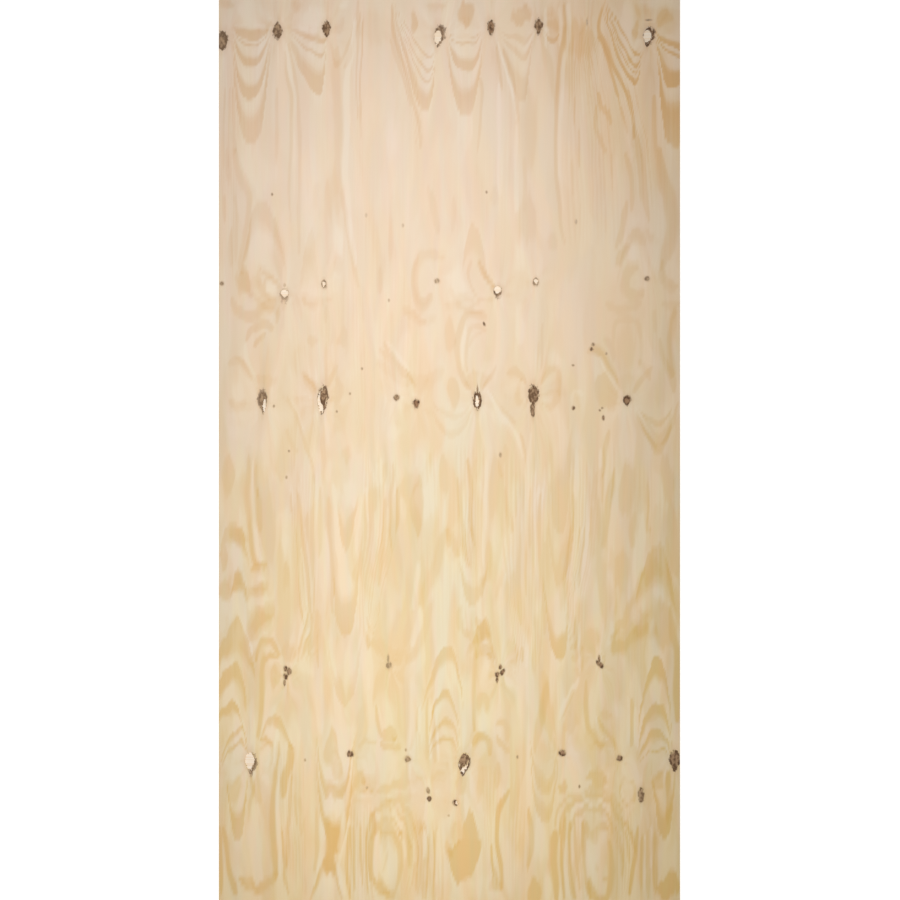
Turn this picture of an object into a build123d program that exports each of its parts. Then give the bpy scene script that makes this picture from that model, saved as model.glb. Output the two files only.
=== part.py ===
from build123d import *

import os

# Sheet of rotary-cut pine plywood, lying flat with its knotty face up, in millimetres.
# The sheet is glued up and pressed in the mill, then sawn to size, so it is one solid. Its
# long side, which is also the grain of the face, runs along Y. The origin is the centre of
# the underside, and +Z points out of the face. Where a loose knot has dropped out of the
# face veneer, the hole goes through that veneer and stops at the crossband under it.

# Size of the sheet as it is sold
sheet_width = 1220.0
sheet_length = 2440.0
sheet_thickness = 18.0

# Face veneer, as thick as it is left by the sander, and the rubbed edge of the sheet
face_veneer_thickness = 2.25
rubbed_edge = 0.5

# Knot hole that the shares below are taken of, and how far a cut runs clear of the face
knot_hole_width = 24.0
knot_hole_length = 48.0
cut_overrun = 1.0

# Outline of a knot hole, as shares of half its width and half its length. The branch
# leaves a rounded head, and the torn grain runs down to a point, the tail.
hole_head_shares = (0.0, 1.0)
hole_shoulder_shares = (0.86, 0.62)
hole_waist_shares = (0.74, -0.12)
hole_tail_shares = (0.0, -1.0)
# Directions in which the outline leaves the head and comes down to the tail
head_direction_shares = (1.0, 0.0)
tail_direction_shares = (-0.4, -1.0)

# Knots that dropped out whole: place across and along the sheet, width and length of the
# hole, and its lean in degrees
open_knot_shares = (
    (0.4747, 0.9466, 0.92, 0.98, -6.0),
    (0.9296, 0.9476, 1.00, 0.84, -8.0),
    (0.1426, 0.6691, 0.88, 0.52, 0.0),
    (0.2278, 0.6797, 0.46, 0.36, 4.0),
    (0.6040, 0.6729, 0.78, 0.50, -8.0),
    (0.6876, 0.6825, 0.54, 0.34, 0.0),
    (0.0982, 0.5474, 0.42, 0.94, -3.0),
    (0.5602, 0.5520, 0.50, 0.84, 2.0),
    (0.0680, 0.1614, 1.12, 1.12, 0.0),
    (0.5154, 0.1174, 0.36, 0.30, 6.0),
)

# Knots that still hold in the hole, with a gap beside them: place, width, length and lean
# of the hole, then the knot's own width and length as shares of the hole's, and how far
# it stands off the hole's centre as shares of the hole's size
loose_knot_shares = (
    (0.2240, 0.5520, 1.08, 1.52, -4.0, 0.66, 0.56, 0.18, 0.21),
    (0.5306, 0.1590, 1.12, 1.20, -8.0, 0.84, 0.66, -0.10, 0.15),
)


def knot_hole(width, length):
    """Outline of a knot hole of that size, head up, centred on the origin."""
    half_width = width / 2
    half_length = length / 2

    def point(shares, side=1):
        return (side * shares[0] * half_width, shares[1] * half_length)

    with BuildSketch() as hole:
        with BuildLine():
            Spline(
                point(hole_head_shares),
                point(hole_shoulder_shares),
                point(hole_waist_shares),
                point(hole_tail_shares),
                tangents=(head_direction_shares, tail_direction_shares),
            )
            mirror(about=Plane.YZ)
        make_face()
    return hole.sketch


def loose_knot_gap(width, length, knot_width, knot_length, off_x, off_y):
    """What is left of a knot hole round the knot that still sits in it."""
    outline = knot_hole(width, length)
    with BuildSketch() as gap:
        add(outline)
        with Locations((off_x, off_y)):
            Ellipse(knot_width / 2, knot_length / 2, mode=Mode.SUBTRACT)
    return gap.sketch


def place(across_share, along_share, lean):
    """Where a knot sits on the face, from the sheet's lower left corner."""
    across = (across_share - 0.5) * sheet_width
    along = (along_share - 0.5) * sheet_length
    return Location((across, along, 0), (0, 0, lean))


# Holes in the face veneer, each drawn at the origin before it is put in place
face_holes = []
for across, along, width, length, lean in open_knot_shares:
    outline = knot_hole(width * knot_hole_width, length * knot_hole_length)
    face_holes.append((place(across, along, lean), outline))
for across, along, width, length, lean, knot_w, knot_l, off_w, off_l in loose_knot_shares:
    hole_width = width * knot_hole_width
    hole_length = length * knot_hole_length
    outline = loose_knot_gap(
        hole_width,
        hole_length,
        knot_w * hole_width,
        knot_l * hole_length,
        off_w * hole_width,
        off_l * hole_length,
    )
    face_holes.append((place(across, along, lean), outline))

# The sheet: a sawn board with rubbed edges, then the knot holes down to the crossband
with BuildPart() as plywood_sheet:
    with BuildSketch():
        Rectangle(sheet_width, sheet_length)
    extrude(amount=sheet_thickness)
    faces = plywood_sheet.faces().sort_by(Axis.Z)
    chamfer(faces[0].edges() + faces[-1].edges(), rubbed_edge)

    with BuildSketch(Plane.XY.offset(sheet_thickness + cut_overrun)):
        for location, outline in face_holes:
            with Locations(location):
                add(outline)
    extrude(amount=-(face_veneer_thickness + cut_overrun), mode=Mode.SUBTRACT)

plywood_sheet.part.label = "plywood_sheet"

os.makedirs("parts", exist_ok=True)
export_step(plywood_sheet.part, "parts/plywood_sheet.step")
print("volume in litres", round(plywood_sheet.part.volume / 1e6, 3))
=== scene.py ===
import math

import bmesh
import bpy
import numpy as np
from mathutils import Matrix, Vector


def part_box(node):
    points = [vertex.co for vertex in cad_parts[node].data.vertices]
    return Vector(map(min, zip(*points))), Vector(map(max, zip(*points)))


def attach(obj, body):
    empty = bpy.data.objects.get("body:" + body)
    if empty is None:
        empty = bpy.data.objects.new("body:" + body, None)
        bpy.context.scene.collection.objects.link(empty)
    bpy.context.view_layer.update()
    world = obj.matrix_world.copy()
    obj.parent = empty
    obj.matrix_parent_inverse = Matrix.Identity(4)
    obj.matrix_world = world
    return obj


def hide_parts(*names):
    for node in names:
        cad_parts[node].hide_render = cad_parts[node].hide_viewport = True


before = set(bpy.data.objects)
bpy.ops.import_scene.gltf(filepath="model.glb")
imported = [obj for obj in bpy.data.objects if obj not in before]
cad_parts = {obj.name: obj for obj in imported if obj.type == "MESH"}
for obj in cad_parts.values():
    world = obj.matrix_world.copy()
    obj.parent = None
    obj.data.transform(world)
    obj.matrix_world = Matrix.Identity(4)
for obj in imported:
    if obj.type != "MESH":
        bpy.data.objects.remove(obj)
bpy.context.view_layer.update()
sheet_low, sheet_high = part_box("plywood_sheet")
mm = 0.001


# Studio
# The sheet lies on a white floor that runs out of the picture on all sides, and the camera
# looks straight down on its face. One long soft lamp hangs over its left half, in white air.
view_width = 2.3802
view_depth = 50.0
lens = 85.0
sensor = 36.0
camera_aside = 1.6 * mm
lamp_place = (-0.10, -0.06, 1.41)
lamp_size = (1.08, 2.9)
lamp_spread = 86.0
lamp_power = 8.95
air_strength = 0.36
floor_reach = 9.0
floor_gap = 0.2 * mm
floor_grey = (0.8, 0.8, 0.8, 1)
floor_glow = 0.74


def join(tree, kind, inputs=None, **settings):
    """Adds a node. An input is a value, the socket that feeds it, or the node whose first output does."""
    made = tree.nodes.new(kind)
    for name, value in settings.items():
        setattr(made, name, value)
    for key, value in (inputs or {}).items():
        if isinstance(value, bpy.types.Node):
            value = value.outputs[0]
        if isinstance(value, bpy.types.NodeSocket):
            tree.links.new(value, made.inputs[key])
        else:
            made.inputs[key].default_value = value
    return made


def sums(tree, operation, first, second=0.0, third=0.0, clamp=False):
    """A sum on one or more numbers, and its result."""
    made = join(tree, "ShaderNodeMath", {0: first, 1: second, 2: third}, operation=operation, use_clamp=clamp)
    return made.outputs[0]


def colour(red, green, blue):
    """A colour given as it looks on a screen, from 0 to 255, as the shader wants it."""
    def linear(part):
        part = part / 255
        return part / 12.92 if part <= 0.04045 else ((part + 0.055) / 1.055) ** 2.4
    return (linear(red), linear(green), linear(blue), 1.0)


def emptied(owner):
    """The node tree of a world or a material, with nothing in it yet."""
    owner.use_nodes = True
    owner.node_tree.nodes.clear()
    return owner.node_tree


def placed(name, data):
    """A new object at the origin."""
    made = bpy.data.objects.new(name, data)
    scene.collection.objects.link(made)
    return made


def seen_directly(tree):
    """1 for rays from the camera or off a mirror, 0 for the light that falls on things."""
    path = join(tree, "ShaderNodeLightPath").outputs
    seen = sums(tree, "MAXIMUM", path["Is Camera Ray"], path["Is Glossy Ray"])
    return sums(tree, "MAXIMUM", seen, path["Is Transmission Ray"])


scene = bpy.context.scene
scene.view_settings.view_transform = "Standard"

camera = placed("camera", bpy.data.cameras.new("camera"))
camera.data.lens = lens
camera.data.sensor_width = sensor
camera.data.clip_end = view_depth
camera.location = (camera_aside, 0, sheet_high.z + view_width * lens / sensor)
scene.camera = camera

scene.world = bpy.data.worlds.new("air")
tree = emptied(scene.world)
bright = join(tree, "ShaderNodeMapRange", {"Value": seen_directly(tree), "To Min": air_strength, "To Max": 1})
white = join(tree, "ShaderNodeBackground", {"Strength": bright, "Color": (1, 1, 1, 1)})
join(tree, "ShaderNodeOutputWorld", {"Surface": white})

lamp = placed("soft_lamp", bpy.data.lights.new("soft_lamp", "AREA"))
lamp.data.shape = "RECTANGLE"
lamp.data.size, lamp.data.size_y = lamp_size
lamp.data.energy = lamp_power
lamp.data.spread = math.radians(lamp_spread)
lamp.location = lamp_place
lamp.visible_camera = False

floor = placed("floor", bpy.data.meshes.new("floor"))
corners = [(x * floor_reach, y * floor_reach, -floor_gap) for x, y in [(-1, -1), (1, -1), (1, 1), (-1, 1)]]
floor.data.from_pydata(corners, [], [(0, 1, 2, 3)])
paper = bpy.data.materials.new("white_floor")
tree = emptied(paper)
matt = join(tree, "ShaderNodeBsdfDiffuse", {"Color": floor_grey})
glow = join(tree, "ShaderNodeEmission", {"Strength": sums(tree, "MULTIPLY", seen_directly(tree), floor_glow)})
both = join(tree, "ShaderNodeAddShader", {0: matt, 1: glow})
join(tree, "ShaderNodeOutputMaterial", {"Surface": both})
floor.data.materials.append(paper)


# Inner plies
# Five pine veneers under the face, peeled from the same kind of log and glued with their
# grain turned from ply to ply. The press squeezes them, and the saw leaves their edges a
# little uneven. The uppermost shows as pale wood at the bottom of each knot hole.
face_thickness = 2.25 * mm
back_thickness = 2.25 * mm
inner_count = 5
inner_thickness = (sheet_high.z - sheet_low.z - face_thickness - back_thickness) / inner_count
glue_line = 0.08 * mm
saw_unevenness = 0.12 * mm
saw_step = 14 * mm
saw_marks = (60, 60, 900)
sheet_width = sheet_high.x - sheet_low.x
sheet_length = sheet_high.y - sheet_low.y
# Patterns in the wood: spots to the metre across, along and down, then detail, roughness and
# distortion.
fibres_along = (260, 6, 2600, 3.0)
fibres_across = (6, 260, 2600, 3.0)
ply_blotches = (9, 9, 1, 2.0)
# How a surface feels: its relief, its roughness and its shine.
sawn_feel = (0.2 * mm, 0.75, 0.3)
bump_strength = 0.6


def wood_place(tree):
    """Object coordinates, in metres."""
    return join(tree, "ShaderNodeTexCoord").outputs["Object"]


def vectors(tree, operation, first, second):
    """A sum on two vectors, and its result."""
    return join(tree, "ShaderNodeVectorMath", {0: first, 1: second}, operation=operation).outputs[0]


def split(tree, vector):
    """A vector's three numbers."""
    return join(tree, "ShaderNodeSeparateXYZ", {0: vector}).outputs


def stored(tree, name, output="Vector"):
    """What the mesh holds under that name."""
    return join(tree, "ShaderNodeAttribute", attribute_name=name).outputs[output]


def stretched(tree, place, across, along, deep, detail=2.0, roughness=0.5, distortion=0.0):
    """Noise from 0 to 1 whose spots are 1/across wide and 1/along long, in metres."""
    scaled = vectors(tree, "MULTIPLY", place, (across, along, deep))
    return join(tree, "ShaderNodeTexNoise", {
        "Vector": scaled, "Scale": 1.0, "Detail": detail, "Roughness": roughness, "Distortion": distortion,
    }).outputs[0]


def mix(tree, factor, first, second, kind="MIX"):
    """One colour laid over another."""
    made = join(tree, "ShaderNodeMix", {0: factor, 6: first, 7: second}, data_type="RGBA", blend_type=kind)
    return made.outputs[2]


def span(tree, value, low, high, to_low=0.0, to_high=1.0):
    """Value from low to high brought to another range, smoothly."""
    return join(
        tree, "ShaderNodeMapRange",
        {"Value": value, "From Min": low, "From Max": high, "To Min": to_low, "To Max": to_high},
        interpolation_type="SMOOTHSTEP",
    ).outputs[0]


def new_material(name):
    """An empty material and its node tree."""
    material = bpy.data.materials.new(name)
    return material, emptied(material)


def finish_wood(tree, base, height, relief, roughness, shine):
    """Ends a wood material: a dry surface with the given colour and relief."""
    bump = join(tree, "ShaderNodeBump", {"Strength": bump_strength, "Distance": relief, "Height": height})
    surface = join(tree, "ShaderNodeBsdfPrincipled", {
        "Base Color": base, "Roughness": roughness, "Specular IOR Level": shine, "Normal": bump,
    })
    join(tree, "ShaderNodeOutputMaterial", {"Surface": surface})


def sawn_plies_material():
    """Alternate plies: long grain, and the darker, rougher ends of the fibres."""
    material, tree = new_material("sawn_plies")
    place = wood_place(tree)
    turned = stored(tree, "turned", "Fac")
    along = stretched(tree, place, *fibres_along)
    across = stretched(tree, place, *fibres_across)
    blotch = stretched(tree, place, *ply_blotches)
    fibres = join(tree, "ShaderNodeMix", {0: turned, 2: along, 3: across}).outputs[0]
    tone = sums(tree, "MULTIPLY_ADD", fibres, 0.75, sums(tree, "MULTIPLY", blotch, 0.25))
    long_grain = mix(tree, span(tree, tone, 0.4, 0.6), colour(250, 226, 196), colour(255, 240, 219))
    cut_ends = mix(tree, span(tree, tone, 0.3, 0.7), colour(196, 160, 112), colour(222, 192, 146))
    side_x, side_y, _ = split(tree, join(tree, "ShaderNodeNewGeometry").outputs["Normal"])
    end_x = sums(tree, "MULTIPLY", sums(tree, "ABSOLUTE", side_x), turned)
    end_y = sums(tree, "MULTIPLY", sums(tree, "ABSOLUTE", side_y), sums(tree, "SUBTRACT", 1.0, turned))
    base = mix(tree, sums(tree, "ADD", end_x, end_y, clamp=True), long_grain, cut_ends)
    finish_wood(tree, base, fibres, *sawn_feel)
    return material


def plain_mesh(thing, name):
    """What the object and its modifiers make, as a mesh of its own."""
    mesh = bpy.data.meshes.new_from_object(thing.evaluated_get(bpy.context.evaluated_depsgraph_get()))
    mesh.name = name
    return mesh


def grown(tree, name, values, points=()):
    """Runs a node tree on loose points, or on nothing, with its named inputs set, and keeps the result."""
    start = bpy.data.meshes.new("holder")
    start.from_pydata(list(points), [], [])
    holder = placed("holder", start)
    modifier = holder.modifiers.new("grow", "NODES")
    modifier.node_group = tree
    for item in tree.interface.items_tree:
        if item.item_type == "SOCKET" and item.in_out == "INPUT" and item.name in values:
            modifier[item.identifier] = values[item.name]
    made = placed(name, plain_mesh(holder, name))
    bpy.data.objects.remove(holder)
    return made


def tree_with(name, kinds):
    """A geometry tree with named inputs, its input node and its output node."""
    tree = bpy.data.node_groups.new(name, "GeometryNodeTree")
    for label, kind in kinds.items():
        tree.interface.new_socket(name=label, in_out="INPUT", socket_type="NodeSocket" + kind)
    tree.interface.new_socket(name="Geometry", in_out="OUTPUT", socket_type="NodeSocketGeometry")
    return tree, tree.nodes.new("NodeGroupInput").outputs, tree.nodes.new("NodeGroupOutput").inputs


def upward(tree, height):
    """A vector that points straight up."""
    return join(tree, "ShaderNodeCombineXYZ", {"Z": height})


tree, size, out = tree_with("stack_of_plies", {
    "Width": "Float", "Length": "Float", "Ply": "Float", "Glue": "Float", "Lowest": "Float", "Plies": "Int",
    "Unevenness": "Float", "Step": "Float", "Material": "Material",
})
outline = join(tree, "GeometryNodeCurvePrimitiveQuadrilateral", {
    "Width": size["Width"], "Height": size["Length"],
})
stepped = join(tree, "GeometryNodeResampleCurve", {"Curve": outline, "Length": size["Step"]}, mode="LENGTH")
filled = join(tree, "GeometryNodeFillCurve", {"Curve": stepped}, mode="NGONS")
slab_height = sums(tree, "SUBTRACT", size["Ply"], size["Glue"])
slab_top = join(tree, "GeometryNodeExtrudeMesh", {
    "Mesh": filled, "Offset": upward(tree, 1.0), "Offset Scale": slab_height, "Individual": False,
})
slab_bottom = join(tree, "GeometryNodeFlipFaces", {0: filled})
slab_parts = join(tree, "GeometryNodeJoinGeometry", {0: slab_top})
tree.links.new(slab_bottom.outputs[0], slab_parts.inputs[0])
slab = join(tree, "GeometryNodeMergeByDistance", {"Geometry": slab_parts, "Distance": 0.001 * mm})
lowest, step = upward(tree, size["Lowest"]), upward(tree, size["Ply"])
levels = join(tree, "GeometryNodeMeshLine", {
    "Count": size["Plies"], "Start Location": lowest, "Offset": step,
})
stack = join(tree, "GeometryNodeInstanceOnPoints", {"Points": levels, "Instance": slab})
loose_stack = join(tree, "GeometryNodeRealizeInstances", {0: stack})
where = join(tree, "GeometryNodeInputPosition").outputs[0]
marks = vectors(tree, "MULTIPLY", where, saw_marks)
wobble = join(tree, "ShaderNodeTexNoise", {"Vector": marks, "Scale": 1.0, "Detail": 3.0}).outputs["Color"]
centred = vectors(tree, "SUBTRACT", wobble, (0.5, 0.5, 0.5))
sideways = vectors(tree, "MULTIPLY", centred, (2, 2, 0))
shift = join(tree, "ShaderNodeVectorMath", {0: sideways, "Scale": size["Unevenness"]}, operation="SCALE")
sawn = join(tree, "GeometryNodeSetPosition", {"Geometry": loose_stack, "Offset": shift})
height = split(tree, where)[2]
level = sums(tree, "DIVIDE", sums(tree, "SUBTRACT", height, size["Lowest"]), size["Ply"])
whole = sums(tree, "FLOOR", sums(tree, "ADD", level, 0.01))
crosswise = sums(tree, "SUBTRACT", 1.0, sums(tree, "MODULO", whole, 2.0))
marked = join(
    tree, "GeometryNodeStoreNamedAttribute", {"Geometry": sawn, "Name": "turned", "Value": crosswise},
    data_type="FLOAT", domain="POINT",
)
faced = join(tree, "GeometryNodeSetMaterial", {"Geometry": marked, "Material": size["Material"]})
tree.links.new(faced.outputs[0], out[0])

inner_plies = grown(tree, "inner_plies", {
    "Width": sheet_width - 2 * saw_unevenness,
    "Length": sheet_length - 2 * saw_unevenness,
    "Ply": inner_thickness,
    "Glue": glue_line,
    "Lowest": sheet_low.z + back_thickness,
    "Plies": inner_count,
    "Unevenness": saw_unevenness,
    "Step": saw_step,
    "Material": sawn_plies_material(),
})
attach(inner_plies, "root")


# Face veneer
# One wide ribbon peeled from a turning pine log, with its grain along the sheet. The knife
# cuts each whorl of branches again at every turn, so the knots and the flames of the growth
# rings round them come back across the sheet. Loose knots fell out and left holes.
rubbed_edge = 0.5 * mm
column_count = 377
# Rows of the face's mesh: from each place up the sheet, in mm, how far apart they lie. They
# are closest where the rings bend most.
row_steps = [
    (0, 12), (390, 8), (800, 13), (1230, 8), (1560, 12), (1700, 14), (2000, 12), (2150, 6.5), (2350, 11),
]
glued_columns, glued_rows = 13, 25
corner_x, corner_y = sheet_low.x, sheet_low.y
noise_cells = 64
far_off = 1e9
# Knots longer than this, in mm, pull the grain in and are cut with more corners.
big_knot = 12
big_corners, pin_corners = 44, 14
plug_rings = (1.0, 0.9, 0.6, 0.25)
hole_ragged = 0.02
pin_ragged = 0.05
overrun = 1 * mm
face_feel = (0.06 * mm, 0.6, 0.3)
tone_steps = 5
ends_of_shade = (0.85, -0.75)
fine_fibres = (650, 10, 650, 3.0, 0.6)
resin_lines = (120, 2.2, 120, 3.0, 0.55, 0.3)
lined_parts = (6, 1.4, 6, 1.0)
pale_islands = (22, 4.5, 22, 2.0, 0.45, 0.5)
golden_parts = (20, 4, 20, 2.0, 0.5, 0.6)
rosy_parts = (28, 4.5, 90, 2.0, 0.5, 0.6)
bark_flakes = (150, 90, 150, 3.0, 0.6)


def ease(low, high, value):
    """From 0 at low to 1 at high, smoothly, whichever is larger."""
    share = np.clip((value - low) / (high - low), 0.0, 1.0)
    return share * share * (3 - 2 * share)


def unevenness(x, y, wide, long, seed):
    """Smooth random numbers from -1 to 1, one for each cell of that width and length in mm."""
    numbers = np.random.default_rng(seed).uniform(-1, 1, (noise_cells, noise_cells))
    u, v = x / wide + 7.3, y / long + 5.1
    i, j = np.floor(u).astype(int), np.floor(v).astype(int)
    s, t = ease(0, 1, u - i), ease(0, 1, v - j)
    low, high = [
        numbers[i % noise_cells, (j + up) % noise_cells] * (1 - s)
        + numbers[(i + 1) % noise_cells, (j + up) % noise_cells] * s for up in (0, 1)
    ]
    return low * (1 - t) + high * t


def flame(x, y, left, right, axis, powers, bands, strength, way):
    """Rings that hang (way -1) or stand (way 1) between two ends. Each runs from one depth to another."""
    across = (x - left[0]) / (right[0] - left[0])
    base = left[1] + across * (right[1] - left[1])
    down = (y - base) * way
    reach = np.where(x < axis, axis - left[0], right[0] - axis)
    aside = np.clip(np.abs(x - axis) / reach, 0.0, 1.0)
    fall = np.maximum(1.0 - aside ** np.where(x < axis, *powers), 1e-3)
    depth = np.maximum(down, 0.0) / fall
    inside = ease(0.12, 0.6, fall) * (down > 0)
    rings = np.zeros_like(x)
    for start, end in bands:
        soft = 0.3 * (end - start) + 2.0
        rings += ease(start - soft, start + soft, depth) * ease(end + 3.0, end - 3.0, depth)
    first, last = bands[0][0], bands[-1][1]
    pale = ease(first - 60, first, depth) * ease(last + 60, last, depth)
    return strength * inside * (rings * 1.3 - 0.3 * pale)


def patch(x, y, centre_x, centre_y, half_width, half_length, strength):
    """An island of one tone, with ends that run out in fingers along the grain."""
    fingers = unevenness(x, y, 11, 900, centre_x) + 0.6 * unevenness(x, y, 5, 900, centre_y)
    lopsided = 0.35 * unevenness(x, y, 200, 0.9 * half_length, centre_x + 1)
    aside = np.abs((x - centre_x) / half_width + lopsided)
    along = np.abs((y - centre_y) / half_length + 0.3 * fingers)
    reach = (aside ** 1.7 + along ** 1.7) ** (1 / 1.7) / 1.08
    edge = (1.6, 0.4) if strength < 0 else (1.18, 0.86) if strength > 0.6 else (1.35, 0.7)
    return strength * ease(*edge, reach)


def smooth_line(points, steps=10):
    """Points of a smooth line through the given ones."""
    p = np.array([points[0], *points, points[-1]], float)
    t = np.linspace(0, 1, steps, endpoint=False)[:, None]
    runs = []
    for a, b, c, d in zip(p[:-3], p[1:-2], p[2:-1], p[3:]):
        bend = (2 * a - 5 * b + 4 * c - d) * t ** 2 + (3 * b - a - 3 * c + d) * t ** 3
        runs.append(0.5 * (2 * b + (c - a) * t + bend))
    return np.vstack(runs + [p[-1:]])


def stripe(x, y, half_width, strength, *places):
    """A line of one tone that thins out at its ends, and the points that it changes."""
    line = smooth_line(np.reshape(places, (-1, 2)))
    margin = 2.2 * half_width + 3
    near = (x > line[:, 0].min() - margin) & (x < line[:, 0].max() + margin)
    near &= (y > line[:, 1].min() - 3 * margin) & (y < line[:, 1].max() + 3 * margin)
    px, py = x[near], y[near]
    best = np.full(px.shape, far_off)
    place = np.zeros(px.shape)
    steps = len(line) - 1
    for k in range(steps):
        ax, ay = line[k]
        dx, dy = line[k + 1] - line[k]
        share = np.clip(((px - ax) * dx + (py - ay) * dy) / (dx * dx + dy * dy + 1e-9), 0, 1)
        gap = np.hypot(px - ax - share * dx, (py - ay - share * dy) * 0.6)
        closer = gap < best
        best = np.where(closer, gap, best)
        place = np.where(closer, (k + share) / steps, place)
    width = half_width * (0.45 + 0.55 * np.minimum(1.0, 5.0 * np.minimum(place, 1 - place)))
    return near, strength * ease(1.5, 0.55, best / (width + 1.0))


def bundle(x, y, left, right, count, strength, seed):
    """Fine rings side by side between two lines that run up the sheet."""
    low, high = [smooth_line(points) for points in (left, right)]
    start, end = [np.interp(y, line[::-1, 1], line[::-1, 0]) for line in (low, high)]
    share = (x - start) / (end - start)
    numbers = np.random.default_rng(seed).uniform(0.35, 1.0, count + 2)
    place = np.clip(share, 0, 1) * count + 0.22 * unevenness(x, y, 20, 110, seed + 1)
    cell = np.clip(np.floor(place), 0, count).astype(int)
    across = place - cell
    rings = ease(0.12, 0.34, across) * ease(0.88, 0.62, across) * numbers[cell]
    top, bottom = max(low[0, 1], high[0, 1]), min(low[-1, 1], high[-1, 1])
    fade = 45 + 30 * unevenness(x, y, 9, 500, seed + 2)
    ends = ease(top + 10, top - fade, y) * ease(bottom - 10, bottom + fade, y)
    return strength * (rings - 0.3) * ends * ease(-0.02, 0.04, share) * ease(1.02, 0.96, share)


# All places on the face are in millimetres from its lower left corner.
# Flames that hang from two knots or stand on them: the two ends, the place of the tip, how
# blunt each side is, the depth where each dark ring starts and ends, and how dark they are.
hanging_flames = [
    ((30, 2335), (142, 2350), 84, (3.0, 3.0), ((10, 41), (49, 55), (83, 109), (155, 195), (240, 315)), 0.9),
    ((172, 2345), (286, 2338), 266, (1.5, 4.0), ((18, 34), (58, 68), (108, 188)), 0.8),
    ((298, 2335), (366, 2420), 322, (4.0, 2.0), ((95, 120),), 0.35),
    ((452, 2440), (572, 2285), 545, (2.3, 3.0), ((48, 58), (88, 98), (118, 126), (150, 200)), 0.75),
    ((598, 2330), (702, 2338), 655, (2.6, 3.0), ((22, 27), (40, 48), (85, 118), (165, 232)), 0.8),
    ((735, 2335), (832, 2330), 806, (1.6, 3.0), ((20, 40), (58, 84), (125, 200)), 0.45),
    ((862, 2345), (906, 2345), 883, (3.0, 3.0), ((40, 56),), 0.8),
    ((1000, 2450), (1122, 2290), 1096, (2.2, 3.0), ((30, 40), (62, 75), (88, 95), (112, 134)), 0.9),
    ((1150, 2345), (1262, 2350), 1205, (3.0, 3.0), ((47, 64), (75, 84), (120, 165), (205, 315)), 0.95),
    ((1100, 1350), (1215, 1360), 1160, (1.8, 1.8), ((50, 65), (105, 145)), 0.8),
    ((560, 1375), (680, 1370), 617, (2.2, 2.2), ((45, 60), (95, 118)), 0.4),
    ((306, 1130), (376, 1130), 340, (1.8, 1.6), ((105, 174),), 0.7),
    ((868, 1330), (938, 1330), 903, (3.0, 2.5), ((130, 325),), 0.6),
    ((868, 1150), (945, 1150), 900, (2.5, 2.5), ((190, 300),), 0.5),
    ((628, 960), (718, 960), 668, (2.5, 2.5), ((110, 160),), 0.7),
    ((300, 960), (372, 960), 335, (3.5, 3.5), ((130, 245),), 0.8),
    ((285, 760), (385, 760), 332, (2.5, 2.0), ((150, 205),), 0.4),
    ((850, 960), (938, 960), 900, (3.2, 3.2), ((235, 292),), 0.8),
    ((250, 520), (362, 520), 305, (3.0, 3.0), ((180, 222), (290, 370)), 0.9),
    ((20, 420), (80, 420), 52, (3.0, 3.0), ((165, 225),), 0.9),
    ((820, 480), (905, 480), 862, (3.0, 3.0), ((118, 158), (195, 242)), 0.6),
    ((1140, 440), (1215, 440), 1177, (3.0, 3.0), ((165, 240),), 0.9),
    ((598, 178), (698, 196), 640, (3.0, 4.0), ((-30, 106),), 0.9),
]
standing_flames = [
    ((52, 1640), (190, 1640), 118, (2.6, 2.2), ((165, 232),), 0.55),
    ((205, 1600), (275, 1600), 243, (1.6, 1.6), ((95, 200),), 0.4),
    ((636, 1640), (718, 1640), 673, (1.8, 1.8), ((105, 176),), 0.6),
    ((1045, 1600), (1170, 1600), 1100, (2.6, 2.0), ((148, 198),), 0.35),
    ((-5, 890), (82, 880), 38, (4.0, 3.0), ((78, 132),), 0.75),
    ((20, 780), (82, 780), 50, (2.2, 2.2), ((75, 117),), 0.8),
    ((-60, 560), (110, 560), 48, (1.3, 1.5), ((140, 222),), 0.9),
    ((-60, 480), (82, 480), 38, (1.3, 2.2), ((118, 185),), 0.8),
    ((-40, 400), (70, 430), 35, (3.0, 3.0), ((98, 125),), 0.9),
    ((0, 330), (82, 400), 42, (3.0, 3.0), ((67, 79), (96, 116)), 0.9),
    ((98, 420), (215, 400), 142, (1.4, 1.4), ((75, 112),), 0.7),
    ((520, 480), (650, 480), 605, (1.6, 2.5), ((185, 232),), 0.7),
    ((548, 390), (644, 390), 600, (2.3, 2.3), ((58, 72), (102, 125), (176, 205)), 0.75),
    ((1102, 390), (1206, 390), 1160, (2.5, 2.5), ((42, 50), (74, 102), (137, 172), (235, 284)), 0.85),
    ((1085, 760), (1225, 740), 1163, (1.6, 1.6), ((115, 225),), 0.9),
    ((235, -40), (335, -40), 287, (2.0, 2.0), ((140, 190),), 0.8),
    ((640, 640), (730, 640), 702, (1.3, 2.0), ((90, 140),), 0.7),
    ((638, 185), (692, 195), 664, (1.6, 1.6), ((-30, 78),), 0.8),
]
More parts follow.
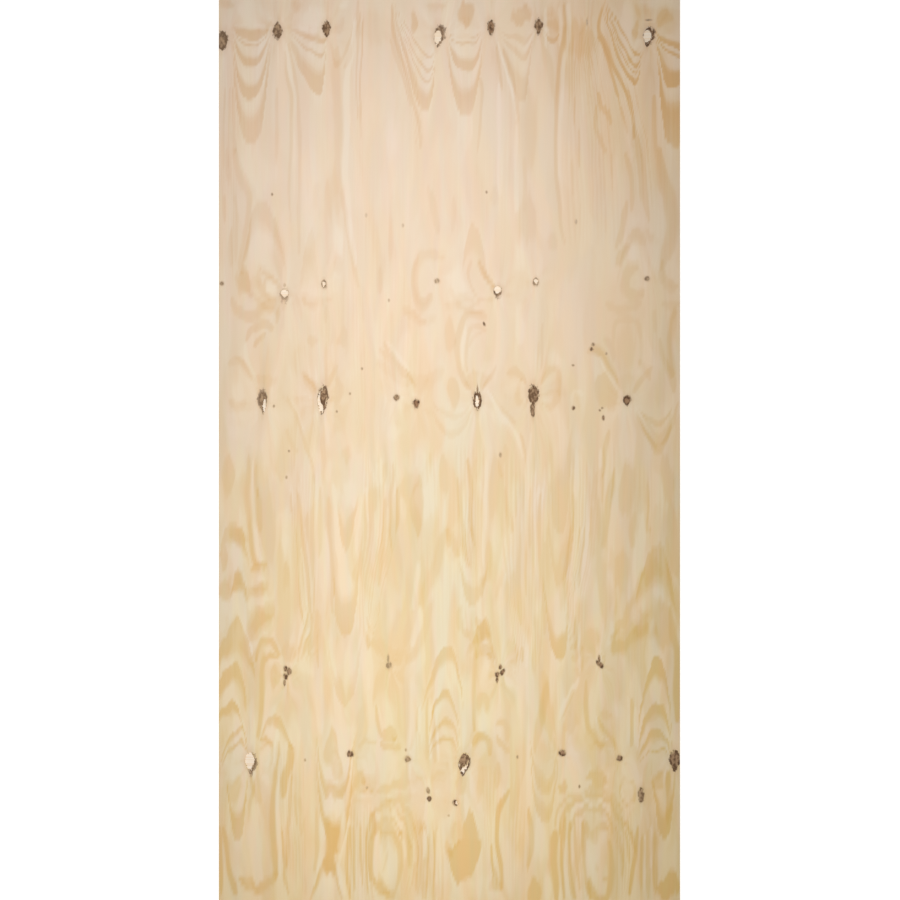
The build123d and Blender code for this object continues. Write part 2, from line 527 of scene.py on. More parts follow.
# Islands: place, half width, half length, and how dark or, below 0, how pale.
patches = [
    (15, 2395, 20, 14, 0.6), (205, 2395, 12, 15, 0.6), (85, 2378, 28, 34, -0.6), (240, 2362, 34, 26, -0.6),
    (318, 2345, 14, 18, 0.4), (325, 2398, 12, 8, -0.6), (518, 2355, 9, 36, 0.8), (570, 2405, 28, 8, 0.5),
    (420, 2330, 50, 40, 0.25), (455, 2040, 20, 50, -0.4), (655, 2367, 23, 32, 1.0),
    (795, 2362, 24, 22, 0.8), (887, 2350, 14, 34, 0.55), (1098, 2330, 9, 22, 0.6),
    (1078, 2370, 14, 30, -0.5), (1192, 2345, 24, 26, 0.4), (1175, 2402, 50, 16, -0.8),
    (822, 2060, 24, 110, 0.4), (650, 2040, 30, 60, -0.25), (945, 2310, 50, 40, 0.3),
    (165, 1740, 18, 70, 0.5), (142, 1648, 15, 22, -0.5), (65, 1660, 20, 32, 0.8),
    (245, 1890, 22, 110, -0.4), (305, 1885, 24, 60, 0.35), (318, 1770, 16, 35, -0.6),
    (320, 1712, 12, 20, 0.4), (420, 1760, 60, 90, 0.25), (250, 1640, 30, 40, -0.3),
    (112, 1760, 25, 55, -0.4), (110, 1955, 50, 60, -0.6), (625, 1650, 25, 38, -0.6),
    (730, 1895, 12, 30, 0.4), (815, 1820, 28, 60, 0.5), (797, 1735, 9, 30, -0.4), (880, 1770, 14, 25, 0.4),
    (1095, 1735, 12, 22, -0.6), (1115, 1780, 35, 22, 0.5), (112, 1465, 26, 70, 0.3),
    (122, 1402, 30, 13, 0.5), (45, 1370, 15, 26, -0.6), (50, 1310, 20, 14, -0.4), (40, 1265, 20, 16, -0.3),
    (253, 1505, 14, 14, 0.5), (332, 1510, 12, 25, 0.5), (525, 1395, 30, 22, 0.5), (228, 1612, 28, 20, 0.35),
    (172, 1605, 12, 16, 0.5), (78, 1652, 30, 24, 0.5), (138, 1643, 13, 20, -0.5), (617, 1375, 15, 36, 0.7),
    (465, 1275, 16, 16, -0.6), (470, 1370, 40, 30, -0.3), (200, 1390, 28, 35, -0.4),
    (330, 1390, 14, 50, -0.4), (612, 1515, 14, 40, 0.6), (685, 1405, 32, 20, 0.5),
    (690, 1470, 26, 40, 0.25), (890, 1460, 15, 30, -0.6), (775, 1385, 16, 18, -0.4),
    (1030, 1375, 30, 38, 0.75), (1085, 1395, 30, 25, 0.4), (1080, 1480, 28, 50, 0.3),
    (1165, 1385, 34, 38, 0.25), (880, 1290, 20, 30, -0.3), (26, 1152, 15, 48, 0.75),
    (102, 915, 20, 20, 0.9), (12, 925, 9, 28, 0.8), (15, 840, 16, 25, 0.9), (104, 845, 20, 14, 0.6),
    (100, 872, 18, 8, -0.6), (150, 1090, 26, 50, 0.3), (172, 970, 8, 20, -0.6), (45, 1060, 25, 35, -0.4),
    (345, 1100, 14, 40, -0.5), (335, 880, 20, 70, -0.5), (340, 1198, 11, 24, 0.5), (525, 1085, 15, 66, 0.7),
    (503, 1128, 26, 30, 0.5), (508, 955, 80, 125, 0.5), (797, 1677, 20, 26, 0.25), (1147, 882, 24, 34, 0.5),
    (1157, 842, 12, 28, -0.4), (1142, 762, 9, 22, -0.6), (1128, 736, 34, 20, 0.4), (1172, 800, 10, 14, 0.4),
    (45, 984, 22, 20, 0.5), (45, 932, 14, 30, -0.5), (42, 868, 19, 18, 0.5), (97, 838, 24, 16, 0.4),
    (97, 810, 22, 12, -0.7), (108, 765, 34, 26, 0.4), (30, 800, 22, 22, -0.5), (48, 735, 12, 26, -0.35),
    (905, 2285, 85, 120, 0.25), (95, 955, 70, 120, 0.25), (490, 1065, 10, 25, -0.5),
    (555, 1110, 12, 80, -0.4), (608, 955, 5, 12, -0.7), (735, 985, 13, 50, -0.7), (728, 1125, 18, 65, 0.45),
    (1082, 1108, 20, 62, 0.65), (1184, 1138, 16, 70, 0.65), (1055, 910, 28, 30, 0.4),
    (1025, 930, 10, 18, -0.5), (1165, 850, 16, 24, -0.6), (665, 960, 20, 40, 0.35), (142, 625, 9, 30, 0.5),
    (182, 685, 18, 22, 0.5), (90, 655, 14, 35, 0.35), (440, 690, 42, 20, 0.45), (306, 422, 34, 80, -0.5),
    (303, 424, 22, 60, 0.9), (140, 470, 16, 30, -0.6), (232, 500, 25, 40, -0.35), (697, 750, 16, 22, 0.7),
    (702, 640, 12, 42, -0.6), (700, 545, 17, 26, 0.5), (702, 505, 13, 25, -0.6), (795, 500, 18, 50, -0.4),
    (775, 680, 16, 36, 0.4), (895, 790, 18, 45, -0.4), (868, 520, 17, 60, 0.5), (985, 708, 24, 26, 0.45),
    (1010, 440, 25, 12, 0.5), (1022, 515, 15, 8, 0.5), (1175, 750, 22, 45, 0.6), (350, 650, 50, 40, -0.4),
    (225, 655, 22, 35, -0.6), (930, 500, 16, 30, 0.4), (296, 145, 17, 55, 0.8), (42, 325, 18, 33, 0.6),
    (90, 160, 42, 70, -0.5), (305, 270, 22, 35, -0.8), (400, 345, 22, 22, 0.4), (425, 150, 9, 45, -0.9),
    (455, 110, 16, 55, -0.8), (530, 222, 15, 15, 0.5), (592, 140, 10, 90, -0.6), (283, 55, 18, 40, -0.7),
    (130, 370, 18, 50, -0.5), (626, 205, 14, 30, 0.35), (730, 58, 18, 18, 0.6), (785, 250, 28, 100, 0.3),
    (850, 170, 22, 60, -0.7), (837, 42, 20, 36, 0.9), (872, 60, 10, 40, -0.8), (915, 338, 12, 15, 0.7),
    (1000, 348, 22, 22, 0.7), (992, 140, 22, 55, -0.8), (998, 125, 4, 15, 0.7), (1018, 95, 6, 7, 0.6),
    (1160, 345, 14, 24, 0.7), (1190, 60, 30, 30, 0.9), (1185, 150, 28, 45, -0.3), (690, 60, 30, 25, -0.4),
    (1095, 360, 40, 30, -0.3), (560, 290, 60, 40, -0.3), (640, 330, 18, 26, 0.4),
]
# Lines: half width, how dark or pale, and then places down the line.
stripes = [
    (10, 0.45, 312, 2290, 315, 2150, 316, 2000, 311, 1900),
    (4, 0.45, 364, 2400, 362, 2350, 354, 2300, 345, 2262, 335, 2240),
    (7, -0.7, 357, 2350, 352, 2290, 343, 2220, 340, 2130, 337, 2050, 333, 1960, 338, 1890, 346, 1830, 354,
        1780, 364, 1720),
    (2.5, 0.5, 370, 2370, 368, 2300, 367, 2200, 368, 2100),
    (2, 0.6, 377, 2350, 376, 2250, 376, 2150, 376, 2050), (2, -0.5, 372, 2350, 372, 2250, 372, 2130),
    (4, 0.4, 152, 2180, 150, 2080, 150, 1990),
    (3.5, 0.5, 172, 2270, 178, 2220, 190, 2150, 190, 2050, 188, 1960, 187, 1900, 193, 1830),
    (3.5, -0.4, 177, 2290, 186, 2230, 198, 2170, 200, 2100, 200, 2000, 201, 1880),
    (3.5, 0.5, 183, 2290, 197, 2230, 207, 2150, 213, 2060, 215, 1980, 215, 1900, 213, 1800, 214, 1740),
    (2.5, 0.4, 26, 2180, 27, 2080, 26, 1960), (2.5, 0.4, 14, 2180, 13, 2080, 14, 1960),
    (2, 0.5, 36, 2180, 37, 2100, 44, 2010),
    (3.5, 0.8, 458, 2400, 460, 2335, 478, 2260, 500, 2195, 520, 2130, 532, 2080, 536, 2020),
    (3, 0.5, 455, 2300, 470, 2250, 490, 2190, 508, 2140),
    (3, 0.6, 690, 2200, 697, 2160, 690, 2090, 682, 2020),
    (3, -0.6, 742, 2300, 750, 2260, 765, 2215, 778, 2160, 786, 2100),
    (3, 0.6, 738, 2290, 744, 2230, 752, 2180), (4, 0.5, 757, 2270, 773, 2215, 784, 2160, 792, 2090),
    (6, -0.5, 745, 2190, 745, 2080, 744, 1900), (5, -0.4, 785, 2080, 784, 1960, 786, 1850),
    (3, -0.6, 866, 2390, 865, 2330, 866, 2280),
    (4, 0.65, 916, 2400, 919, 2350, 914, 2300, 903, 2250, 895, 2200, 893, 2100, 895, 2000, 896, 1930, 902,
        1870, 906, 1810, 916, 1770),
    (4, -0.5, 926, 2400, 929, 2350, 925, 2310, 914, 2260, 908, 2200, 905, 2100, 905, 1990, 908, 1920, 915,
        1860),
    (3, -0.5, 903, 2400, 908, 2350, 903, 2290), (2, 0.5, 950, 2080, 950, 1970),
    (2, 0.4, 940, 2160, 941, 2090),
    (4, 0.8, 1012, 2400, 1005, 2340, 1020, 2300, 1037, 2255, 1060, 2205, 1082, 2150, 1096, 2100, 1099, 2040),
    (3, 0.7, 1003, 2320, 1022, 2275, 1040, 2210, 1050, 2170, 1058, 2145),
    (3.5, 0.6, 1003, 2165, 1010, 2130, 1028, 2105, 1038, 2080),
    (4, 0.5, 996, 2130, 993, 2080, 1005, 2050, 1022, 2010), (3, 0.5, 1060, 2130, 1075, 2090, 1085, 2050),
    (8, 0.6, 1100, 2060, 1105, 2020, 1115, 1975, 1122, 1930, 1127, 1885, 1138, 1830),
    (5, 0.6, 1080, 1990, 1090, 1950, 1092, 1900, 1090, 1850), (4, 0.5, 1150, 2160, 1152, 2080, 1156, 2000),
    (14, 0.9, 1166, 2010, 1175, 1930, 1190, 1880, 1198, 1830, 1192, 1780, 1182, 1740, 1173, 1705),
    (9, 0.8, 42, 2010, 52, 1955, 68, 1910, 78, 1880, 76, 1840, 73, 1800, 68, 1755, 58, 1710, 60, 1680),
    (5, 0.5, 24, 2010, 26, 1930), (3, 0.6, 14, 1885, 14, 1830), (3.5, 0.7, 30, 1810, 31, 1750, 32, 1700),
    (3, 0.5, 38, 1890, 45, 1830, 44, 1730), (6, 0.5, 112, 1705, 108, 1665, 125, 1630, 150, 1612),
    (4, 0.5, 112, 1703, 135, 1680, 160, 1655),
    (9, 0.35, 288, 1925, 288, 1880, 288, 1820, 290, 1770, 288, 1715),
    (5, 0.45, 322, 1905, 334, 1855, 343, 1800, 352, 1755, 362, 1705, 371, 1655),
    (7, 0.25, 455, 1885, 456, 1800, 450, 1730), (4, 0.6, 425, 1705, 427, 1645),
    (8, 0.4, 555, 1910, 565, 1860, 577, 1810),
    (9, 0.5, 596, 1738, 560, 1742, 534, 1722, 522, 1685, 520, 1645, 526, 1612, 548, 1602, 563, 1618),
    (5, 0.4, 617, 1885, 616, 1800), (4, 0.8, 688, 1722, 700, 1700, 715, 1675, 730, 1655),
    (4, 0.25, 808, 1990, 808, 1850), (6, 0.7, 1077, 1870, 1068, 1820, 1060, 1780, 1052, 1755),
    (7, 0.7, 1082, 1750, 1065, 1735, 1055, 1715),
    (10, 0.7, 1104, 1708, 1085, 1700, 1074, 1672, 1078, 1642, 1100, 1632, 1120, 1642),
    (7, 0.8, 1173, 1705, 1174, 1670, 1190, 1645, 1212, 1640), (4, 0.3, 935, 1990, 936, 1900),
    (3, 0.3, 1040, 2000, 1038, 1900),
    (6, 0.8, 36, 1616, 46, 1596, 70, 1581, 98, 1585, 118, 1600, 140, 1602, 156, 1584, 152, 1560),
    (6, 0.8, 72, 1518, 82, 1545, 105, 1558, 125, 1553, 140, 1540), (4, 0.7, 90, 1495, 100, 1515, 118, 1530),
    (4, 0.5, 596, 1594, 625, 1600, 660, 1594, 700, 1578),
    (4, -0.6, 68, 1500, 70, 1455, 80, 1425, 92, 1400, 102, 1385),
    (7, 0.5, 28, 1440, 48, 1452, 66, 1430, 82, 1405), (7, 0.4, 28, 1342, 50, 1330, 68, 1345),
    (2.5, 0.6, 180, 1350, 200, 1310, 215, 1270, 230, 1225, 245, 1180, 250, 1140),
    (2.5, 0.5, 178, 1270, 190, 1240, 208, 1210), (2.5, -0.5, 188, 1345, 206, 1310, 222, 1270),
    (6, 0.7, 225, 1402, 240, 1385, 256, 1370), (4, 0.5, 312, 1403, 325, 1378, 318, 1354, 296, 1352),
    (3, 0.4, 288, 1500, 286, 1400), (3, -0.6, 304, 1500, 306, 1445), (4, 0.4, 287, 1605, 286, 1570),
    (6, 0.5, 432, 1478, 450, 1460, 470, 1440, 490, 1418, 508, 1400),
    (4, -0.5, 455, 1476, 472, 1450, 492, 1415), (8, 0.4, 425, 1442, 450, 1426, 475, 1406, 497, 1392),
    (9, 0.4, 592, 1430, 570, 1408, 545, 1390), (6, 0.4, 486, 1588, 515, 1580, 545, 1566, 572, 1560),
    (6, 0.7, 704, 1562, 688, 1577, 665, 1583, 648, 1572, 636, 1540, 631, 1500, 633, 1455, 645, 1415, 662,
        1388),
    (4, -0.5, 652, 1545, 645, 1500, 643, 1440),
    (4, 0.5, 702, 1530, 686, 1543, 668, 1543, 657, 1520, 652, 1470, 656, 1430),
    (3, 0.4, 662, 1500, 672, 1518, 692, 1526),
    (4, -0.5, 713, 1372, 738, 1332, 768, 1283, 790, 1235, 802, 1195),
    (3, 0.5, 724, 1368, 750, 1335, 778, 1298), (3, -0.5, 722, 1366, 752, 1322, 784, 1262, 806, 1196),
    (5, 0.6, 795, 1255, 803, 1225, 812, 1190), (5, 0.7, 765, 1430, 780, 1430, 796, 1415, 810, 1393),
    (5, 0.5, 797, 1400, 786, 1372, 790, 1345, 804, 1338),
    (5, 0.7, 858, 1398, 870, 1420, 885, 1433, 897, 1425, 898, 1390, 893, 1350, 880, 1335, 860, 1345),
    (2.5, 0.6, 855, 1560, 855, 1430), (2.5, 0.4, 845, 1500, 844, 1430), (10, -0.4, 795, 1600, 797, 1500),
    (3, 0.5, 829, 1310, 829, 1262), (3, -0.6, 930, 1348, 932, 1374, 945, 1383, 958, 1370),
    (3, 0.4, 945, 1365, 948, 1332), (6, 0.7, 976, 1478, 1000, 1470, 1020, 1450, 1036, 1430, 1055, 1405),
    (4.5, -0.55, 1008, 1452, 1035, 1420, 1050, 1400, 1064, 1382),
    (6, 0.5, 1022, 1505, 1040, 1488, 1046, 1460),
    (4, 0.4, 1046, 1495, 1050, 1540, 1065, 1556, 1090, 1553, 1108, 1540, 1115, 1500, 1115, 1460, 1112, 1430),
    (3, 0.6, 1150, 1580, 1151, 1525), (6, 0.5, 1028, 1608, 1046, 1592, 1074, 1587, 1100, 1593, 1114, 1608),
    (4, 0.5, 1174, 1600, 1198, 1592, 1220, 1597), (4, 0.5, 82, 1634, 110, 1611, 133, 1589, 152, 1581),
    (3, 0.6, 118, 1684, 145, 1669, 166, 1655), (3, 0.6, 124, 1665, 125, 1636, 143, 1616, 162, 1619),
    (6, 0.45, 225, 1617, 236, 1600, 250, 1598, 264, 1618, 300, 1628),
    (6, 0.45, 529, 1718, 517, 1690, 515, 1650, 524, 1619, 545, 1610, 563, 1627),
    (4, 0.6, 440, 1495, 462, 1462, 487, 1425, 520, 1388), (3, -0.5, 449, 1500, 476, 1462, 500, 1425),
    (3, 0.45, 484, 1588, 514, 1585, 548, 1562),
    (3, 0.55, 670, 1718, 662, 1675, 680, 1632, 706, 1617, 724, 1627),
    (3, 0.55, 688, 1720, 706, 1692, 724, 1664), (4, 0.45, 610, 1642, 625, 1611, 659, 1619, 694, 1600),
    (7, 0.6, 985, 1485, 1014, 1463, 1040, 1430, 1063, 1385), (3, -0.5, 1005, 1452, 1030, 1420, 1056, 1388),
    (6, 0.5, 1213, 1575, 1198, 1556, 1195, 1516, 1200, 1470, 1210, 1420),
    (4, 0.55, 222, 1414, 236, 1398, 252, 1384, 262, 1374), (4, 0.5, 314, 1430, 300, 1408, 286, 1384),
    (3, 0.5, 730, 1438, 718, 1412, 700, 1384), (4, 0.5, 1145, 1428, 1125, 1405, 1100, 1375),
    (4, 0.45, 44, 1464, 66, 1438, 88, 1400, 104, 1376),
    (8, 0.65, 1208, 1585, 1203, 1540, 1194, 1500, 1196, 1450, 1203, 1415),
    (7, 0.8, 1164, 1500, 1172, 1470, 1188, 1440, 1204, 1405, 1207, 1380),
    (3, 0.6, 1106, 1322, 1118, 1290, 1138, 1252, 1160, 1222),
    (3, 0.6, 1217, 1345, 1208, 1310, 1192, 1275, 1172, 1240),
    (3, 0.5, 1124, 1316, 1140, 1282, 1162, 1262, 1186, 1285, 1198, 1318),
    (5, 0.4, 1112, 1440, 1128, 1420, 1140, 1400), (5, 0.7, 1032, 1275, 1022, 1240, 1015, 1195, 1012, 1150),
    (3, -0.9, 1006, 1220, 1005, 1170), (4, 0.5, 758, 1232, 760, 1210, 756, 1192),
    (6, 0.9, 76, 1200, 76, 1150, 71, 1100, 75, 1055, 80, 1010, 86, 970, 94, 935, 102, 910),
    (5, 0.9, 97, 1185, 98, 1140, 103, 1105), (8, 0.9, 103, 1110, 108, 1070, 110, 1030, 113, 1002),
    (4, -0.7, 88, 1190, 88, 1100, 93, 1045, 100, 990, 108, 955, 113, 932),
    (6, 0.7, 176, 910, 178, 880, 175, 845), (3, 0.6, 190, 1105, 193, 1050),
    (3.5, 0.7, 210, 1105, 214, 1050, 222, 1000, 226, 950, 233, 890, 236, 830, 242, 790),
    (3, 0.7, 205, 1000, 209, 920, 212, 830, 220, 760), (3, 0.5, 237, 1045, 236, 980),
    (3.5, 0.4, 246, 1150, 251, 1090, 250, 1000, 249, 900, 250, 800),
    (4, 0.5, 267, 1110, 267, 1000, 264, 940), (5, 0.6, 289, 1080, 292, 1000, 299, 940, 304, 890, 303, 800),
    (5, -0.5, 284, 1010, 287, 900, 284, 800), (2.5, -0.7, 218, 965, 226, 900, 229, 820),
    (2.5, -0.6, 213, 920, 218, 830), (3, -0.4, 258, 1150, 259, 1000, 257, 850),
    (2.5, -0.5, 232, 1010, 240, 930, 241, 850), (7, -0.7, 303, 1125, 309, 1060, 315, 1000, 320, 940),
    (6, -0.5, 388, 1110, 381, 1050, 372, 1000, 360, 955), (8, 0.6, 375, 940, 368, 905, 355, 872),
    (3, 0.5, 384, 1100, 384, 1030), (3, -0.6, 393, 1110, 393, 1030),
    (3, 0.5, 403, 1150, 402, 1050, 398, 960), (4, 0.6, 437, 1195, 436, 1140),
    (4, 0.7, 458, 1200, 460, 1170, 456, 1125, 451, 1095, 452, 1040, 450, 990, 456, 950),
    (4, 0.6, 437, 1085, 435, 1000, 430, 940, 424, 865), (6, 0.7, 472, 1115, 474, 1060, 470, 1000),
    (3, 0.5, 413, 1120, 412, 1050), (3, -0.5, 420, 1190, 420, 1120), (3, -0.5, 443, 1050, 440, 960),
    (3, -0.6, 430, 1200, 429, 1130), (8, 0.4, 562, 1200, 553, 1160, 540, 1130),
    (9, 0.6, 597, 1200, 598, 1150, 601, 1110),
    (11, 0.45, 606, 1012, 585, 965, 572, 905, 552, 860, 536, 815), (6, -0.5, 530, 925, 525, 880, 514, 815),
    (9, 0.7, 604, 1005, 616, 970, 626, 945, 634, 938),
    (5, 0.6, 632, 1135, 636, 1090, 641, 1040, 648, 1000, 649, 960, 656, 920, 664, 905),
    (5, 1.0, 657, 1185, 662, 1150, 667, 1115, 665, 1080, 667, 1040, 672, 1000, 675, 968),
    (3, 0.6, 682, 1195, 676, 1165, 683, 1140), (5, -0.6, 710, 1180, 708, 1100, 703, 1000, 699, 925),
    (8, 0.7, 716, 985, 714, 925, 706, 885, 690, 868), (3, 0.6, 745, 1190, 748, 1160, 753, 1143),
    (3.5, 0.6, 760, 1115, 762, 1080, 768, 1040, 773, 1005), (4, 0.4, 783, 1150, 782, 1050),
    (4, 0.5, 826, 1110, 822, 1030, 826, 980), (3.5, -0.6, 845, 1115, 840, 1050, 842, 960, 844, 890),
    (4, 0.5, 852, 1110, 851, 1000, 853, 900, 858, 830, 860, 730), (4, 0.4, 798, 1000, 797, 850, 800, 760),
    (3, 0.4, 812, 960, 816, 840), (4, -0.4, 860, 1180, 862, 1080, 866, 980),
    (4, -0.5, 943, 1205, 946, 1150, 942, 1090),
    (6, 0.6, 936, 1100, 930, 1010, 925, 960, 918, 900, 914, 850), (3, 0.6, 952, 1010, 950, 920, 944, 830),
    (3, 0.6, 965, 1010, 957, 930, 955, 850), (3, -0.6, 958, 1010, 951, 930, 948, 850, 944, 780),
    (3, -0.5, 975, 1030, 968, 950, 962, 870), (3, 0.5, 985, 1060, 980, 980),
    (5, 0.7, 995, 1150, 995, 1100, 1003, 1040, 1005, 975), (4, 0.5, 1010, 1150, 1011, 1070),
    (8, 0.8, 1041, 1155, 1037, 1120, 1030, 1080, 1027, 1020, 1022, 985, 1014, 955),
    (6, 0.6, 1098, 1040, 1090, 985, 1097, 950),
    (11, -0.6, 1112, 1040, 1112, 980, 1105, 925, 1095, 880, 1084, 830),
    (7, 0.6, 1122, 893, 1108, 862, 1102, 838, 1082, 806, 1076, 775, 1056, 748, 1052, 728, 1038, 708),
    (5, 0.6, 1130, 1125, 1130, 1060, 1130, 1015, 1139, 990),
    (10, 0.75, 1194, 1070, 1200, 1000, 1207, 940, 1214, 890),
    (8, 0.65, 1182, 975, 1192, 905, 1202, 850, 1216, 800),
    (5, 0.8, 98, 668, 108, 700, 130, 717, 146, 704, 158, 680),
    (5, 0.8, 100, 440, 104, 470, 109, 520, 112, 570, 114, 640, 121, 672, 135, 682, 154, 672),
    (16, 0.7, 142, 786, 112, 764, 92, 742, 84, 722), (7, -0.6, 142, 766, 112, 738, 92, 708, 86, 690),
    (4, -0.5, 69, 795, 70, 745, 80, 700, 84, 660), (3, 0.6, 233, 800, 226, 750, 213, 700, 206, 658),
    (3, 0.6, 244, 800, 241, 750, 230, 705, 216, 668), (3, -0.6, 226, 800, 216, 745, 209, 700),
    (3.5, 0.5, 263, 800, 257, 740, 242, 700), (4, 0.6, 265, 745, 260, 700, 263, 660),
    (3, -0.4, 237, 800, 234, 750, 220, 700), (8, 0.3, 516, 800, 502, 755, 490, 720),
    (7, -0.4, 536, 800, 524, 760, 506, 722), (10, 0.4, 562, 805, 546, 762, 532, 725, 512, 695, 495, 678),
    (4, 0.5, 395, 740, 392, 690), (3, -0.5, 392, 620, 393, 590), (3, 0.4, 553, 560, 552, 400),
    (3, -0.5, 562, 560, 561, 400), (3, 0.6, 571, 540, 573, 400), (3, -0.4, 580, 500, 582, 400),
    (2.5, -0.6, 532, 540, 533, 470), (2.5, 0.4, 527, 540, 527, 470),
    (5, 0.8, 110, 440, 126, 442, 137, 428, 140, 400, 136, 372), (5, -0.7, 152, 470, 150, 430, 148, 390),
    (3, 0.4, 368, 448, 390, 455, 416, 450), (4, 0.6, 415, 545, 420, 505, 430, 475, 448, 462, 470, 458),
    (5, 0.6, 440, 482, 458, 478, 472, 462), (5, 0.6, 430, 448, 446, 441, 466, 437, 482, 430),
    (5, 0.5, 636, 795, 634, 762, 642, 732), (7, 0.5, 645, 722, 668, 718, 688, 724),
    (7, 0.8, 678, 668, 685, 694, 700, 702, 716, 690, 728, 668), (3, 0.6, 690, 678, 705, 686, 718, 672),
    (4.5, 0.6, 674, 695, 672, 610, 672, 540, 676, 480),
    (6, 0.8, 672, 438, 685, 460, 702, 472, 716, 460, 719, 425),
    (6, 0.5, 736, 508, 750, 516, 761, 500, 760, 468), (4, 0.6, 735, 470, 746, 450, 766, 434),
    (4, 0.5, 804, 700, 805, 655), (5, -0.5, 816, 705, 813, 650),
    (8, 0.5, 856, 625, 861, 580, 858, 540, 850, 490, 838, 420),
    (4, -0.7, 950, 620, 938, 590, 922, 560, 908, 528, 902, 505), (3, 0.5, 938, 582, 922, 548, 906, 508),
    (4, 0.6, 945, 765, 945, 690), (3, 0.6, 962, 705, 961, 640), (3, -0.5, 955, 760, 955, 640),
    (6, 0.7, 970, 600, 970, 535, 976, 490, 992, 460, 1014, 438),
    (6, 0.8, 1003, 502, 1015, 480, 1034, 464, 1046, 440), (2.5, -0.6, 998, 505, 1006, 480, 1026, 458),
    (4, 0.6, 1095, 560, 1095, 440), (3, -0.5, 1087, 560, 1087, 450), (5, -0.6, 1104, 540, 1108, 440),
    (18, 0.9, 1140, 782, 1105, 740, 1072, 708, 1045, 684), (8, -0.5, 1110, 775, 1080, 735, 1052, 708),
    (8, 0.9, 1198, 790, 1202, 740, 1210, 690, 1210, 600, 1213, 520),
    (6, 0.9, 12, 235, 21, 185, 29, 130, 38, 80, 46, 45), (4, 0.9, 3, 240, 4, 150, 6, 40),
    (7, 0.5, 98, 335, 101, 300, 109, 272), (4, 0.4, 85, 350, 92, 312, 82, 275, 80, 230),
    (8, 0.8, 58, 88, 84, 66, 106, 55, 132, 65, 148, 92), (21, 0.8, 300, 250, 297, 200, 291, 155, 286, 105),
    (7, 0.9, 154, 440, 154, 380, 148, 310, 143, 260, 142, 200, 145, 130, 147, 80),
    (3, -0.7, 161, 400, 158, 330, 155, 280, 157, 200, 158, 90),
    (9, 0.9, 186, 445, 191, 405, 186, 372, 175, 340, 172, 300),
    (4, 0.6, 196, 350, 191, 300, 187, 250, 180, 200, 178, 150, 175, 110),
    (4, 0.7, 164, 210, 168, 150, 172, 110, 170, 80, 182, 45), (3, 0.5, 205, 305, 206, 235),
    (3, 0.4, 215, 300, 217, 200), (4, 0.5, 257, 260, 254, 150, 250, 95),
    (6, -0.9, 268, 240, 272, 200, 268, 150, 257, 100),
    (7, -0.9, 332, 255, 325, 200, 317, 150, 312, 128, 320, 90, 332, 45),
    (4, 0.8, 345, 215, 340, 160, 338, 100, 346, 35), (3, 0.5, 354, 220, 352, 150, 360, 60),
    (3, 0.7, 374, 220, 373, 150, 380, 80), (3, 0.5, 389, 230, 391, 120),
    (3, -0.5, 364, 210, 364, 120, 372, 40), (7, 0.7, 352, 322, 360, 348, 371, 362, 384, 352),
    (8, 0.3, 384, 322, 410, 315, 440, 318, 472, 324),
    (6, 0.8, 410, 250, 411, 210, 406, 160, 408, 105, 424, 75, 440, 50, 452, 40),
    (6, 0.7, 418, 212, 440, 216, 460, 214, 472, 195, 478, 160, 480, 100, 472, 60),
    (3, -0.6, 420, 240, 445, 258, 466, 260, 482, 232, 491, 190, 494, 140),
    (5, 0.8, 478, 225, 492, 200, 501, 165, 502, 110), (3, 0.6, 449, 155, 440, 108),
    (3, 0.6, 408, 190, 418, 225, 436, 254, 455, 266, 478, 256, 496, 222, 508, 165),
    (2.5, 0.5, 426, 225, 442, 244, 458, 247, 474, 232, 484, 205), (5, 0.8, 438, 42, 452, 36, 470, 42),
    (6, 0.5, 535, 220, 533, 130, 538, 40), (4, 0.5, 555, 210, 553, 120, 546, 40),
    (3, 0.6, 572, 220, 572, 120, 574, 40), (3, -0.6, 545, 210, 543, 130),
    (3, -0.7, 579, 215, 578, 120, 579, 40), (3, -0.5, 515, 190, 520, 120), (4, 0.5, 520, 110, 524, 40),
    (8, 0.6, 603, 190, 610, 150),
    (5, 1.0, 766, 335, 752, 300, 739, 260, 734, 200, 738, 150, 745, 100, 749, 55),
    (3, 0.8, 720, 185, 722, 120, 730, 78), (3.5, -0.4, 729, 260, 727, 180, 733, 110, 742, 75),
    (6, 0.8, 822, 265, 827, 210, 824, 160, 815, 110), (8, 0.4, 703, 390, 694, 345, 688, 305),
    (7, 0.5, 740, 395, 736, 345), (9, 0.9, 893, 225, 887, 160, 890, 100, 896, 40),
    (3.5, 0.8, 918, 245, 911, 150, 917, 35), (3.5, 0.8, 929, 235, 927, 150, 936, 60, 944, 32),
    (3, 0.5, 940, 230, 942, 150, 954, 60), (5, 0.8, 960, 235, 962, 150, 970, 90, 982, 45),
    (3, -0.6, 903, 200, 901, 120, 906, 40), (3, -0.5, 921, 190, 922, 100, 930, 40),
    (8, 0.7, 965, 235, 975, 208, 990, 196, 1008, 210, 1026, 216),
    (8, 0.8, 980, 95, 986, 62, 1002, 44, 1026, 50, 1036, 95, 1038, 140, 1030, 185),
    (4, 0.5, 1035, 262, 1060, 222, 1076, 190, 1080, 145),
    (4, 0.5, 1038, 215, 1054, 190, 1066, 150, 1064, 100), (3, -0.5, 1046, 215, 1062, 180, 1073, 140),
    (5, 0.7, 903, 60, 902, 150, 908, 230, 925, 275, 960, 292, 1000, 296, 1035, 280, 1060, 250, 1085, 215,
        1098, 160),
    (3, 0.5, 892, 240, 905, 288, 940, 310, 990, 316, 1035, 302, 1066, 272),
    (3.5, -0.5, 930, 245, 945, 274, 985, 282, 1020, 272, 1044, 245, 1066, 205),
    (4, 0.6, 932, 220, 950, 256, 985, 267, 1015, 258, 1038, 232, 1058, 200, 1068, 140),
    (3, 0.5, 1062, 322, 1070, 345, 1090, 350, 1102, 330, 1098, 300, 1082, 288, 1066, 300, 1062, 322),
